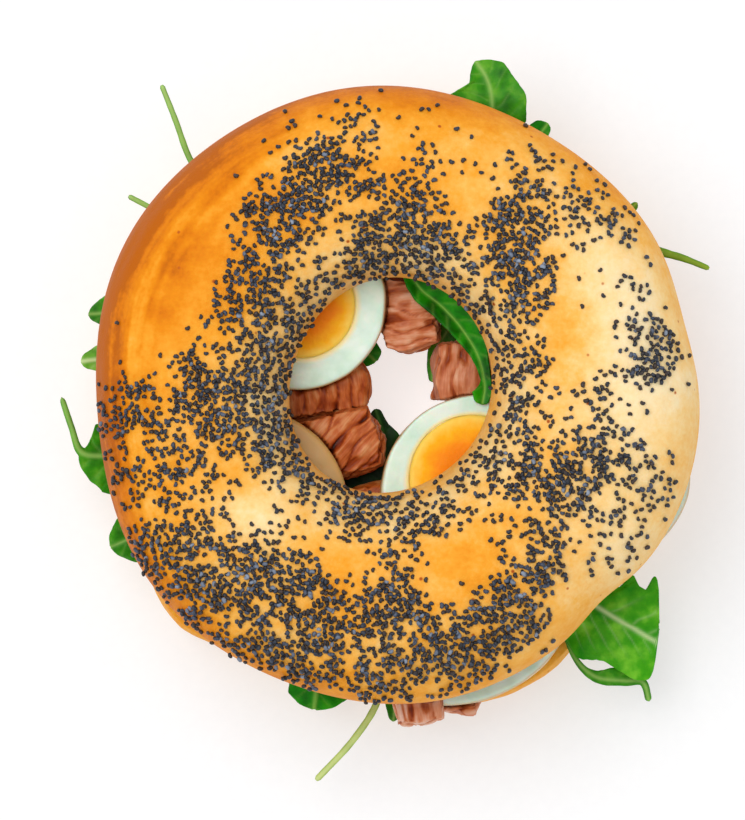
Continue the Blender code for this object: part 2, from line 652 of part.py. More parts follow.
def main():
    """Builds the sandwich from its base up."""
    noise.seed_set(NOISE_START)
    clear_scene()
    make_base()
    make_tuna()
    for egg in EGGS:
        make_egg(egg)
    make_leaves()
    make_lid()


main()
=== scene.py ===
"""The looks of a poppy seed bagel sandwich filled with flaked tuna, sliced boiled egg and rocket.

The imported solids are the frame: metres, +Z up, with the flat base on Z = 0. Each class below builds one
part of the sandwich as a fine mesh and dresses it. The classes work in millimetres from the bagel's
upright axis and in degrees, unless a name or comment says otherwise, and make_piece takes a finished
mesh into the frame.
"""

import logging
import math
import random
from dataclasses import dataclass
from enum import Enum
from functools import cached_property
from typing import Callable

import bmesh
import bpy
import numpy as np
from mathutils import Matrix, Vector, noise
from mathutils.bvhtree import BVHTree

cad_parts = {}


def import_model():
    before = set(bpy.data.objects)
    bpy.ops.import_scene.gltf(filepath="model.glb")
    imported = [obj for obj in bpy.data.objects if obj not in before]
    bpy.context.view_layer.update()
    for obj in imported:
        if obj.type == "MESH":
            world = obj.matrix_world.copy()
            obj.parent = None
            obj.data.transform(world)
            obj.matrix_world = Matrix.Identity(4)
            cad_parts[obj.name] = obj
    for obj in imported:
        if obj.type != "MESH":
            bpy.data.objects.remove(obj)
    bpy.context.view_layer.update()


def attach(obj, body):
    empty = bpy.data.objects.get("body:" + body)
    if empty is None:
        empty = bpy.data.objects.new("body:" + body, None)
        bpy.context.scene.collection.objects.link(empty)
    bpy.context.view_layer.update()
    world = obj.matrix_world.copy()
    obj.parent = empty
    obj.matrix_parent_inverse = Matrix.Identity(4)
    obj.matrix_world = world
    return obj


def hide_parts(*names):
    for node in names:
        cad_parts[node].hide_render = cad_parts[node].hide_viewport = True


LOG = logging.getLogger("bagel_sandwich")

MM = 0.001
BODY = "root"
# Where the bagel's upright axis stands in the frame, which is centred on the sandwich with its leaves.
AXIS = Vector((2.22, 4.76, 0.0)) * MM
TO_FRAME = Matrix.Translation(AXIS) @ Matrix.Scale(MM, 4)
# Ring cross-sections are spun this far from the axis and then fitted to their outlines.
SPIN_CENTRE = 3.0
MERGE = 1e-5
# A height in millimetres above every piece, which rays are cast down from.
ABOVE_ALL = 90.0
# The noise that roughens the tuna starts anywhere unless it gets a start of its own.
NOISE_START = 5

Colour = tuple[float, float, float, float]
Place = tuple[float, float, float]


def linear(code: str) -> Colour:
    """Turns an sRGB hex colour into the linear one that a shader takes.

    Args:
        code: the colour as "#RRGGBB".

    Returns:
        Red, green and blue in linear light, and an alpha of 1.
    """
    channels = [int(code[start:start + 2], 16) / 255 for start in (1, 3, 5)]
    lights = [c / 12.92 if c <= 0.04045 else ((c + 0.055) / 1.055) ** 2.4 for c in channels]
    return (*lights, 1.0)


def per_mm(size: float) -> float:
    """The texture scale that repeats a pattern about once in this many millimetres."""
    return 1.0 / (size * MM)


def smooth_step(low: float, high: float, value: float) -> float:
    """Rises smoothly from 0 at low to 1 at high."""
    share = max(0.0, min(1.0, (value - low) / (high - low)))
    return share * share * (3 - 2 * share)


def add_node(
    tree: bpy.types.NodeTree,
    kind: str,
    inputs: dict[str | int, object] | None = None,
    stops: tuple[tuple[float, str], ...] = (),
    **settings: object,
) -> bpy.types.Node:
    """Adds a node with its settings, its values and its links.

    Args:
        tree: the node tree that gets the node.
        kind: the node's type.
        inputs: a value, or the socket to link from, for each input by its name or number.
        stops: places and hex colours, for a colour ramp.
        settings: the node's own properties.

    Returns:
        The new node.
    """
    node = tree.nodes.new(kind)
    for name, value in settings.items():
        setattr(node, name, value)
    for key, value in (inputs or {}).items():
        if isinstance(value, bpy.types.NodeSocket):
            tree.links.new(value, node.inputs[key])
        else:
            node.inputs[key].default_value = value
    if stops:
        marks = node.color_ramp.elements
        marks[0].position, marks[0].color = stops[0][0], linear(stops[0][1])
        marks[1].position, marks[1].color = stops[-1][0], linear(stops[-1][1])
        for place, code in stops[1:-1]:
            marks.new(place).color = linear(code)
    return node


def new_material(
    name: str, **values: object
) -> tuple[bpy.types.Material, bpy.types.NodeTree, bpy.types.Node, bpy.types.NodeSocket]:
    """Starts a material.

    Args:
        name: the substance's common name.
        values: values of the shader's sockets, with an underscore for each space.

    Returns:
        The material, its node tree, its Principled shader and the socket of object coordinates.
    """
    material = bpy.data.materials.new(name)
    material.use_nodes = True
    tree = material.node_tree
    shader = tree.nodes["Principled BSDF"]
    for socket, value in values.items():
        shader.inputs[socket.replace("_", " ")].default_value = value
    where = add_node(tree, "ShaderNodeTexCoord").outputs["Object"]
    return material, tree, shader, where


def dress_shader(
    tree: bpy.types.NodeTree,
    shader: bpy.types.Node,
    colour: bpy.types.NodeSocket,
    height: bpy.types.NodeSocket,
    relief_mm: float,
) -> None:
    """Gives a shader its colour and its fine relief.

    Args:
        tree: the material's node tree.
        shader: its Principled shader.
        colour: the socket that gives the colour.
        height: the socket that gives the relief's height, from 0 to 1.
        relief_mm: how far the relief stands out at 1.
    """
    tree.links.new(colour, shader.inputs["Base Color"])
    relief = add_node(tree, "ShaderNodeBump", {"Height": height, "Distance": relief_mm * MM})
    tree.links.new(relief.outputs["Normal"], shader.inputs["Normal"])


@dataclass(frozen=True)
class CrustFinish:
    """Baked bagel crust: boiled and oven-browned dough.

    The mesh carries how brown each place is baked in "bake". Its "round" follows the dough round the
    ring, where proving has stretched it into streaks, and "streaked" says how strongly they show.
    """

    name: str
    # Pale where the dough rose against its neighbours, then golden, then the browned rim.
    stops: tuple[tuple[float, str], ...] = (
        (0.0, "#FBE3B4"), (0.2, "#F8D18C"), (0.4, "#F5B655"), (0.56, "#F0A02C"),
        (0.72, "#E4880E"), (0.86, "#D67606"), (1.0, "#B85E06"),
    )
    # Each mottling's size in mm, and how strongly it shifts the browning.
    mottlings: tuple[tuple[float, float], ...] = ((9.0, 0.4), (3.2, 0.3), (0.9, 0.22))
    # How often the streaks repeat across the ring's unit circle, twice, and over a radian of the crown.
    streak_scale: Place = (1.6, 1.6, 5.5)
    streak_strength: float = 0.9
    pore_mm: float = 0.45
    pore_height_mm: float = 0.09
    speck_mm: float = 3.4
    # A speck fades between these distances from its middle, and this share of places has none.
    speck_fade: tuple[float, float] = (0.06, 0.13)
    speckless: float = 0.72

    def material(self) -> bpy.types.Material:
        """Builds the crust's material.

        Returns:
            A golden, softly glossy material with mottling, streaks and small scorched specks.
        """
        made, tree, shader, where = new_material(
            self.name, Roughness=0.58, IOR=1.42, Specular_IOR_Level=0.12, Subsurface_Weight=0.04,
            Subsurface_Scale=0.001,
        )
        level = add_node(tree, "ShaderNodeAttribute", attribute_name="bake").outputs["Fac"]
        for size, amount in self.mottlings:
            mottling = add_node(tree, "ShaderNodeTexNoise",
                                {"Vector": where, "Scale": per_mm(size), "Detail": 3.0})
            share = add_node(tree, "ShaderNodeMath", {0: mottling.outputs["Fac"], 1: 0.5},
                             operation="SUBTRACT")
            level = add_node(tree, "ShaderNodeMath", {0: share.outputs[0], 1: amount, 2: level},
                             operation="MULTIPLY_ADD").outputs[0]
        ring = add_node(tree, "ShaderNodeAttribute", attribute_name="round").outputs["Vector"]
        streaked = add_node(tree, "ShaderNodeAttribute", attribute_name="streaked").outputs["Fac"]
        stretched = add_node(tree, "ShaderNodeMapping", {"Vector": ring, "Scale": self.streak_scale})
        streak = add_node(tree, "ShaderNodeTexNoise",
                          {"Vector": stretched.outputs[0], "Scale": 1.0, "Detail": 2.0})
        share = add_node(tree, "ShaderNodeMath", {0: streak.outputs["Fac"], 1: 0.5},
                         operation="SUBTRACT")
        masked = add_node(tree, "ShaderNodeMath", {0: share.outputs[0], 1: streaked},
                          operation="MULTIPLY")
        level = add_node(tree, "ShaderNodeMath",
                         {0: masked.outputs[0], 1: self.streak_strength, 2: level},
                         operation="MULTIPLY_ADD").outputs[0]
        ramp = add_node(tree, "ShaderNodeValToRGB", {"Fac": level}, self.stops)
        cell = add_node(tree, "ShaderNodeTexVoronoi", {"Vector": where, "Scale": per_mm(self.speck_mm)})
        inside, outside = self.speck_fade
        dot = add_node(tree, "ShaderNodeMapRange",
                       {"Value": cell.outputs["Distance"], "From Min": outside, "From Max": inside})
        chosen = add_node(tree, "ShaderNodeSeparateColor", {"Color": cell.outputs["Color"]})
        rare = add_node(tree, "ShaderNodeMath", {0: chosen.outputs[0], 1: self.speckless},
                        operation="GREATER_THAN")
        speck = add_node(tree, "ShaderNodeMath", {0: dot.outputs[0], 1: rare.outputs[0]},
                         operation="MULTIPLY")
        scorched = add_node(tree, "ShaderNodeMix",
                            {0: speck.outputs[0], 6: ramp.outputs[0], 7: linear("#B4551B")},
                            data_type="RGBA")
        pores = add_node(tree, "ShaderNodeTexNoise",
                         {"Vector": where, "Scale": per_mm(self.pore_mm), "Detail": 2.0})
        dress_shader(tree, shader, scorched.outputs[2], pores.outputs["Fac"], self.pore_height_mm)
        return made


@dataclass(frozen=True)
class CrumbFinish:
    """Cut bagel crumb: a pale, dense, dull foam of dough with small pores."""

    pore_mm: float = 0.8
    pore_height_mm: float = 0.25

    def material(self) -> bpy.types.Material:
        """Builds the crumb's material.

        Returns:
            A cream, dull material with darker pores.
        """
        made, tree, shader, where = new_material(
            "bagel crumb", Roughness=0.85, IOR=1.4, Subsurface_Weight=0.15, Subsurface_Scale=0.0015,
        )
        pores = add_node(tree, "ShaderNodeTexNoise",
                         {"Vector": where, "Scale": per_mm(self.pore_mm), "Detail": 4.0})
        # Painted shade: the colour darkens where the pores sink in.
        ramp = add_node(tree, "ShaderNodeValToRGB", {"Fac": pores.outputs["Fac"]},
                        ((0.3, "#D3A765"), (0.5, "#F0D9A8"), (0.72, "#F8E9C4")))
        dress_shader(tree, shader, ramp.outputs[0], pores.outputs["Fac"], self.pore_height_mm)
        return made


@dataclass(frozen=True)
class SeedFinish:
    """Blue poppy seed: a hard, dull skin from slate blue to brown-black, netted with fine ridges."""

    # The net's real cells are about 0.08 mm, too fine to show here, so it is drawn twice as coarse.
    net_mm: float = 0.17
    net_height_mm: float = 0.05
    # A painted highlight lightens the ridges between these distances from a cell's middle, up to this
    # share.
    ridge_sheen: tuple[float, float] = (0.35, 0.8)
    most_sheen: float = 0.3

    def material(self) -> bpy.types.Material:
        """Builds the seeds' material, toned by "tone" from brown-black to a pale slate blue, with a
        painted highlight on the net's ridges.

        Returns:
            A dull dark material.
        """
        made, tree, shader, where = new_material("poppy seed skin", Roughness=0.5, IOR=1.47)
        tone = add_node(tree, "ShaderNodeAttribute", attribute_name="tone").outputs["Fac"]
        net = add_node(tree, "ShaderNodeTexVoronoi", {"Vector": where, "Scale": per_mm(self.net_mm)})
        ramp = add_node(
            tree, "ShaderNodeValToRGB", {"Fac": tone},
            ((0.0, "#140D09"), (0.25, "#34200F"), (0.45, "#17161B"), (0.68, "#202532"),
             (0.84, "#3C4558"), (1.0, "#8B96A8")),
        )
        # Painted highlight: the net's ridges are screened towards a grey blue.
        sheen = add_node(tree, "ShaderNodeMapRange",
                        {"Value": net.outputs["Distance"], "From Min": self.ridge_sheen[0],
                         "From Max": self.ridge_sheen[1], "To Max": self.most_sheen})
        sheened = add_node(tree, "ShaderNodeMix",
                        {0: sheen.outputs[0], 6: ramp.outputs[0], 7: linear("#565E6B")},
                        data_type="RGBA", blend_type="SCREEN")
        dress_shader(tree, shader, sheened.outputs[2], net.outputs["Distance"], self.net_height_mm)
        return made


@dataclass(frozen=True)
class TunaFinish:
    """Cooked, tinned tuna: moist muscle in layered flakes, brown-pink, with painted highlight on ridges
    and painted shade in cracks.

    The mesh carries how deep each place lies in "depth", each flake's shade in "tone", from brown to
    pink, and the places along and across its fibres in "grain".
    """

    fibre_mm: float = 0.36
    fibre_length_mm: float = 5.0
    fibre_height_mm: float = 0.12
    patch_mm: float = 3.0
    # How strongly the fibres and the patches shade the flesh, and what is then taken off.
    fibre_strength: float = 0.34
    patch_strength: float = 0.7
    shade_offset: float = 0.62

    def material(self) -> bpy.types.Material:
        """Builds the tuna's material.

        Returns:
            A moist, fibrous material.
        """
        made, tree, shader, where = new_material(
            "cooked tuna", Roughness=0.45, IOR=1.4, Specular_IOR_Level=0.25, Coat_Weight=0.06,
            Coat_Roughness=0.25, Subsurface_Weight=0.06, Subsurface_Scale=0.001,
        )
        grain = add_node(tree, "ShaderNodeAttribute", attribute_name="grain").outputs["Vector"]
        depth = add_node(tree, "ShaderNodeAttribute", attribute_name="depth").outputs["Fac"]
        tone = add_node(tree, "ShaderNodeAttribute", attribute_name="tone").outputs["Fac"]
        finest = 1.0 / self.fibre_mm
        along = add_node(tree, "ShaderNodeMapping",
                         {"Vector": grain, "Scale": (1.0 / self.fibre_length_mm, finest, finest)})
        fibre = add_node(tree, "ShaderNodeTexNoise",
                         {"Vector": along.outputs[0], "Scale": 1.0, "Detail": 2.0})
        patch = add_node(tree, "ShaderNodeTexNoise",
                         {"Vector": where, "Scale": per_mm(self.patch_mm), "Detail": 2.0})
        # The depth lightens the flesh on its ridges and darkens it in its cracks: painted highlight and
        # painted shade.
        lift = add_node(tree, "ShaderNodeMath",
                        {0: fibre.outputs["Fac"], 1: self.fibre_strength, 2: depth},
                        operation="MULTIPLY_ADD")
        level = add_node(tree, "ShaderNodeMath",
                         {0: patch.outputs["Fac"], 1: self.patch_strength, 2: lift.outputs[0]},
                         operation="MULTIPLY_ADD")
        centred = add_node(tree, "ShaderNodeMath", {0: level.outputs[0], 1: self.shade_offset},
                           operation="SUBTRACT")
        brown = add_node(tree, "ShaderNodeValToRGB", {"Fac": centred.outputs[0]},
                         ((0.0, "#260802"), (0.25, "#641C06"), (0.5, "#93390A"), (0.75, "#BC5E20"),
                          (1.0, "#D58E50")))
        pink = add_node(tree, "ShaderNodeValToRGB", {"Fac": centred.outputs[0]},
                        ((0.0, "#401004"), (0.25, "#923A14"), (0.5, "#C66A3A"), (0.75, "#DC9670"),
                         (1.0, "#EEC6B2")))
        flesh = add_node(tree, "ShaderNodeMix", {0: tone, 6: brown.outputs[0], 7: pink.outputs[0]},
                         data_type="RGBA")
        dress_shader(tree, shader, flesh.outputs[2], fibre.outputs["Fac"], self.fibre_height_mm)
        return made


@dataclass(frozen=True)
class EggWhiteFinish:
    """Boiled egg white: a smooth, moist, slightly translucent gel, cool white with a tan skin."""

    cloud_mm: float = 4.0
    # The ripples that the cutting wire leaves.
    ripple_mm: float = 1.6
    ripple_height_mm: float = 0.08

    def material(self) -> bpy.types.Material:
        """Builds the material, with the outer skin and painted shade marked by "skin", and the yolk's
        tint by "yolk_tint".

        Returns:
            A pale, moist material that light sinks into.
        """
        made, tree, shader, where = new_material(
            "boiled egg white", Roughness=0.32, IOR=1.36, Coat_Weight=0.2, Coat_Roughness=0.15,
            Subsurface_Weight=0.35, Subsurface_Scale=0.002,
        )
        skin = add_node(tree, "ShaderNodeAttribute", attribute_name="skin").outputs["Fac"]
        cloud = add_node(tree, "ShaderNodeTexNoise",
                         {"Vector": where, "Scale": per_mm(self.cloud_mm), "Detail": 3.0})
        white = add_node(tree, "ShaderNodeValToRGB", {"Fac": cloud.outputs["Fac"]},
                         ((0.3, "#C8E8D6"), (0.5, "#D6F1E3"), (0.7, "#E4F5EA")))
        # The skin's tan, which also stands for painted shade on a slice in shade.
        tan_and_shade_mixed = add_node(tree, "ShaderNodeMix",
                           {0: skin, 6: white.outputs[0], 7: linear("#C69A4C")}, data_type="RGBA")
        tint = add_node(tree, "ShaderNodeAttribute", attribute_name="yolk_tint").outputs["Fac"]
        tinted = add_node(tree, "ShaderNodeMix",
                          {0: tint, 6: tan_and_shade_mixed.outputs[2], 7: linear("#FCE088")}, data_type="RGBA")
        ripple = add_node(tree, "ShaderNodeTexNoise",
                          {"Vector": where, "Scale": per_mm(self.ripple_mm), "Detail": 2.0})
        dress_shader(tree, shader, tinted.outputs[2], ripple.outputs["Fac"], self.ripple_height_mm)
        return made


@dataclass(frozen=True)
class EggYolkFinish:
    """Boiled egg yolk: dense and crumbly, deep orange in its middle and yellow towards the white."""

    cloud_mm: float = 2.4
    cloud_strength: float = 0.3
    crumb_mm: float = 0.7
    crumb_height_mm: float = 0.12

    def material(self) -> bpy.types.Material:
        """Builds the yolk's material, whose mesh carries the way out from its middle in "reach".

        Returns:
            A soft, nearly dull material.
        """
        made, tree, shader, where = new_material(
            "boiled egg yolk", Roughness=0.5, IOR=1.42, Coat_Weight=0.04, Coat_Roughness=0.3,
            Specular_IOR_Level=0.15, Subsurface_Weight=0.1, Subsurface_Scale=0.001,
        )
        reach = add_node(tree, "ShaderNodeAttribute", attribute_name="reach").outputs["Fac"]
        cloud = add_node(tree, "ShaderNodeTexNoise",
                         {"Vector": where, "Scale": per_mm(self.cloud_mm), "Detail": 3.0})
        shifted = add_node(tree, "ShaderNodeMath",
                           {0: cloud.outputs["Fac"], 1: self.cloud_strength, 2: reach},
                           operation="MULTIPLY_ADD")
        colour = add_node(tree, "ShaderNodeValToRGB", {"Fac": shifted.outputs[0]},
                          ((0.3, "#EC7E00"), (0.6, "#FA9600"), (0.8, "#FFBC0E"),
                           (0.97, "#FFD85C")))
        crumbs = add_node(tree, "ShaderNodeTexNoise",
                          {"Vector": where, "Scale": per_mm(self.crumb_mm), "Detail": 3.0})
        dress_shader(tree, shader, colour.outputs[0], crumbs.outputs["Fac"], self.crumb_height_mm)
        return made


class Green(Enum):
    """The greens that the leaves show, each as its dark, middle, light and vein colour."""

    DEEP = ("#0A4A00", "#148000", "#2FA004", "#86BE4A")
    FRESH = ("#1B6404", "#348A08", "#62A824", "#90BC5C")
    BRIGHT = ("#1F8A00", "#45A50E", "#78C630", "#CDE6A8")
    SHADED = ("#061B03", "#0D3305", "#174A0A", "#3C6B22")
    PALE = ("#3E7A10", "#63A52B", "#8CC04A", "#CFE3A4")
    STALK = ("#3F7A10", "#5C9C20", "#7CB53C", "#B2D27C")
    PALE_STALK = ("#7FA02C", "#9AB540", "#B4C962", "#D3DF98")
    OLIVE = ("#3F7A0C", "#5A9010", "#7FA424", "#9CB23C")


@dataclass(frozen=True)
class LeafFinish:
    """Fresh rocket: a thin, waxy blade, dark between its paler raised veins."""

    green: Green
    blotch_mm: float = 3.5
    cell_mm: float = 0.35
    cell_height_mm: float = 0.04

    def material(self) -> bpy.types.Material:
        """Builds the leaf's material, with its veins marked by "vein", which on a stalk also marks a
        painted highlight along its top.

        Returns:
            A green, softly glossy material.
        """
        dark, middle, light, vein_colour = self.green.value
        made, tree, shader, where = new_material(
            f"rocket {self.green.name.lower()}", Roughness=0.45, IOR=1.42, Specular_IOR_Level=0.14,
            Coat_Weight=0.02, Coat_Roughness=0.3, Subsurface_Weight=0.06, Subsurface_Scale=0.0006,
        )
        vein = add_node(tree, "ShaderNodeAttribute", attribute_name="vein").outputs["Fac"]
        blotch = add_node(tree, "ShaderNodeTexNoise",
                          {"Vector": where, "Scale": per_mm(self.blotch_mm), "Detail": 3.0})
        blade = add_node(tree, "ShaderNodeValToRGB", {"Fac": blotch.outputs["Fac"]},
                         ((0.3, dark), (0.52, middle), (0.72, light)))
        veined = add_node(tree, "ShaderNodeMix",
                          {0: vein, 6: blade.outputs[0], 7: linear(vein_colour)}, data_type="RGBA")
        cells = add_node(tree, "ShaderNodeTexNoise",
                         {"Vector": where, "Scale": per_mm(self.cell_mm), "Detail": 2.0})
        dress_shader(tree, shader, veined.outputs[2], cells.outputs["Fac"], self.cell_height_mm)
        return made


@dataclass(frozen=True)
class FloorFinish:
    """A white table that glows a little all over, with a painted pool of light where it glows more, in
    its middle under the bagel's hole.
    """

    tooth_mm: float = 2.0
    # The painted pool of light fades from the first distance off the bagel's axis, where it is the glow,
    # to the second, from where on only the even spill is left.
    glow: float = 0.7
    spill: float = 0.46
    glow_mm: float = 22.0
    faded_mm: float = 52.0

    def material(self) -> bpy.types.Material:
        """Builds the floor's material.

        Returns:
            A dull white material that glows a little, and more in a painted pool of light under the hole.
        """
        made, tree, shader, where = new_material("opal acrylic", Roughness=0.9, IOR=1.45,
                                                 Specular_IOR_Level=0.2)
        tooth = add_node(tree, "ShaderNodeTexNoise",
                         {"Vector": where, "Scale": per_mm(self.tooth_mm), "Detail": 2.0})
        ramp = add_node(tree, "ShaderNodeValToRGB", {"Fac": tooth.outputs["Fac"]},
                        ((0.0, "#BDBDBE"), (1.0, "#C3C3C4")))
        tree.links.new(ramp.outputs[0], shader.inputs["Base Color"])
        off_axis = add_node(tree, "ShaderNodeVectorMath", {0: where, 1: AXIS}, operation="DISTANCE")
        # Painted pool of light: the floor glows most under the bagel's hole.
        lamp = add_node(tree, "ShaderNodeMapRange",
                        {"Value": off_axis.outputs["Value"], "From Min": self.glow_mm * MM,
                         "From Max": self.faded_mm * MM, "To Min": self.glow, "To Max": self.spill},
                        interpolation_type="SMOOTHSTEP")
        tree.links.new(lamp.outputs[0], shader.inputs["Emission Strength"])
        shader.inputs["Emission Color"].default_value = linear("#FBFDFF")
        return made


@dataclass(frozen=True)
class Wave:
    """An even wave round a ring: its crests, its height in mm and the angle of one crest."""

    crests: int
    height: float
    crest_at: float

    def at(self, angle: float) -> float:
        """The wave's height at an angle in radians."""
        return self.height * math.cos(self.crests * (angle - math.radians(self.crest_at)))


@dataclass(frozen=True)
class Bulge:
    """A single swelling, or a dent where its height is below 0, at one angle of a ring."""

    centre: float
    height: float
    half_width: float

    def at(self, angle: float) -> float:
        """The swelling's height at an angle in radians."""
        off = (math.degrees(angle) - self.centre + 180) % 360 - 180
        return self.height * math.exp(-((off / self.half_width) ** 2))


@dataclass(frozen=True)
class Outline:
    """A ring's outline seen from above."""

    mean: float
    parts: tuple[Wave | Bulge, ...] = ()

    def radius(self, angle: float) -> float:
        """The outline's distance from the axis at an angle in radians."""
        return self.mean + sum(part.at(angle) for part in self.parts)


# The bagel seen from above. Both halves follow it, because they were cut from one bagel.
BAGEL_OUTLINE = Outline(
    56.5,
    (Wave(1, 0.7, 152), Wave(2, 0.4, 102), Wave(3, 0.7, 4), Wave(5, 0.2, 0), Wave(6, 0.35, -24),
     Bulge(-45, -1.5, 8), Bulge(15, -1.2, 12)),
)


@dataclass(frozen=True)
class Patch:
    """A round patch on the crown that fades outwards."""

    x: float
    y: float
    radius: float
    strength: float = 1.0

    def at(self, x: np.ndarray, y: np.ndarray) -> np.ndarray:
        """The patch's strength at many places."""
        return self.strength * np.exp(-((x - self.x) ** 2 + (y - self.y) ** 2) / self.radius**2)


def rounded(turn: float, power: float) -> tuple[float, float]:
    """A point of a unit superellipse's upper half.

    Args:
        turn: the turn in radians from its outer end, up to pi at its inner end.
        power: how square it is; 2 is a circle.

    Returns:
        Its side, from -1 to 1, and its height, from 0 to 1.
    """
    side = math.copysign(abs(math.cos(turn)) ** (2 / power), math.cos(turn))
    return side, abs(math.sin(turn)) ** (2 / power)


def spin_ring(profile: list[tuple[float, float]], steps: int) -> bmesh.types.BMesh:
    """Spins a closed cross-section once round the axis.

    Args:
        profile: the cross-section's points as (side, height), with side from -1 to 1.
        steps: how many copies the spin makes.

    Returns:
        A closed ring whose points are SPIN_CENTRE plus their side from the axis.
    """
    bm = bmesh.new()
    corners = [bm.verts.new((SPIN_CENTRE + side, 0.0, height)) for side, height in profile]
    rim = [bm.edges.new(pair) for pair in zip(corners, corners[1:] + corners[:1])]
    bmesh.ops.spin(bm, geom=corners + rim, axis=(0, 0, 1), cent=(0, 0, 0), steps=steps,
                   angle=math.tau, use_merge=True)
    bmesh.ops.remove_doubles(bm, verts=bm.verts, dist=MERGE)
    bmesh.ops.recalc_face_normals(bm, faces=bm.faces)
    return bm


def ring_place(point: Vector) -> tuple[float, float]:
    """The angle in radians and the side, from -1 to 1, of a point that spin_ring made."""
    return math.atan2(point.y, point.x), math.hypot(point.x, point.y) - SPIN_CENTRE


def on_ring(angle: float, side: float, height: float, outer: float, inner: float) -> Vector:
    """The place on a ring between two radii at an angle, with side from -1 to 1."""
    reach = (outer + inner) / 2 + side * (outer - inner) / 2
    return Vector((reach * math.cos(angle), reach * math.sin(angle), height))


def bumps_at(point: Vector, bumps: tuple[tuple[float, float], ...]) -> float:
    """The height at a point of soft bumps, which are given as their heights and sizes in mm."""
    return sum(height * noise.noise(point / size) for height, size in bumps)


def add_fine_relief(bm: bmesh.types.BMesh, relief: Callable[[bmesh.types.BMVert], float]) -> None:
    """Moves a mesh's points along their normals.

    Args:
        bm: the mesh, in millimetres.
        relief: gives how far a point moves out, in millimetres.
    """
    bm.normal_update()
    moves = [(vert, vert.normal * relief(vert)) for vert in bm.verts]
    for vert, move in moves:
        vert.co += move
    bm.normal_update()


def make_piece(
    name: str, bm: bmesh.types.BMesh, materials: list[bpy.types.Material]
) -> bpy.types.Object:
    """Turns a finished mesh in millimetres into an object of the frame.

    Args:
        name: the piece's name.
        bm: its mesh, which is freed.
        materials: its materials, in the order of its faces' material numbers.

    Returns:
        The object, smooth, at the origin, with its place in its mesh.
    """
    bmesh.ops.transform(bm, matrix=TO_FRAME, verts=bm.verts)
    mesh = bpy.data.meshes.new(name)
    bm.to_mesh(mesh)
    bm.free()
    mesh.shade_smooth()
    obj = bpy.data.objects.new(name, mesh)
    bpy.context.scene.collection.objects.link(obj)
    for material in materials:
        mesh.materials.append(material)
    return obj


def hand_over(piece: bpy.types.Object, slot: str, *nodes: str) -> None:
    """Lets a piece stand for its solids and move with the sandwich.

    Args:
        piece: the finished piece.
        slot: a material slot of the record; not used.
        nodes: the solids that it replaces.
    """
    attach(piece, BODY)
    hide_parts(*nodes)
    LOG.info("%s: %d faces, for %s", piece.name, len(piece.data.polygons), ", ".join(nodes))


@dataclass
class BagelHalf:
    """One half of the bagel: a ring of baked dough with a flat face of crumb where it was cut.

    Its cross-section is a superellipse of the given power over its equator, then a lip down to the cut.
    """

    node: str
    outer: Outline
    inner: Outline
    cut: float
    equator: float
    power: float
    steps: int = 400
    turns: int = 110
    lip_steps: int = 6
    cut_steps: int = 34
    # How far the lip draws in at the cut, as a share of half the ring's width.
    cut_tuck: float = 0.045
    crust_thick: float = 2.6
    crumb_rough: float = 0.22
    crumb_pore: float = 1.1

    def baked_side(self) -> list[tuple[float, float]]:
        """The baked side's points at a height of 1, from the outer equator to the inner one."""
        return [rounded(math.pi * step / self.turns, self.power) for step in range(self.turns + 1)]

    def lip(self) -> list[tuple[float, float]]:
        """The crust's way from the outer equator to the cut's edge, without either end."""
        shares = [step / self.lip_steps for step in range(1, self.lip_steps)]
        return [(1 - self.cut_tuck * share**2, self.equator + (self.cut - self.equator) * share)
                for share in shares]

    def cut_face(self) -> list[tuple[float, float]]:
        """The cut face's points from its outer edge to its inner one."""
        reach = 1 - self.cut_tuck
        return [(reach * (1 - 2 * step / self.cut_steps), self.cut)
                for step in range(self.cut_steps + 1)]

    def closed(self, baked: list[tuple[float, float]]) -> list[tuple[float, float]]:
        """The closed cross-section: a baked side, the inner lip, the cut and the outer lip."""
        outer_lip = self.lip()
        inner_lip = [(-side, height) for side, height in outer_lip]
        return baked + inner_lip + self.cut_face()[::-1] + outer_lip[::-1]

    def is_crumb(self, face: bmesh.types.BMFace) -> bool:
        """Whether a face belongs to the crumb: it is level, by the cut, and inside the crust."""
        middle = face.calc_center_median()
        angle, reach = math.atan2(middle.y, middle.x), math.hypot(middle.x, middle.y)
        inside = (self.inner.radius(angle) + self.crust_thick < reach
                  < self.outer.radius(angle) - self.crust_thick)
        return inside and abs(face.normal.z) > 0.7 and abs(middle.z - self.cut) < 1.0

    def lay_crumb(self, bm: bmesh.types.BMesh, inwards: int) -> None:
        """Marks the cut's faces as crumb and sinks pores into them.

        Args:
            bm: the half's mesh.
            inwards: 1 where the dough lies above the cut, and -1 where it lies below.
        """
        for face in bm.faces:
            face.material_index = int(self.is_crumb(face))
        for vert in bm.verts:
            if all(face.material_index for face in vert.link_faces):
                pore = self.crumb_rough * abs(noise.noise(vert.co / self.crumb_pore))
                vert.co.z += inwards * pore

    def turn_at(self, side: float, height: float, reach: float) -> float:
        """The turn over the baked side that a cross-section's point lies at, from 0 to pi.

        Args:
            side: the point's side, from -1 to 1.
            height: its height over the equator, away from the cut.
            reach: the height of the whole baked side.

        Returns:
            The turn in radians from the outer equator.
        """
        rise = max(0.0, height / reach) ** (self.power / 2)
        across = math.copysign(abs(side) ** (self.power / 2), side)
        return math.atan2(rise, across)


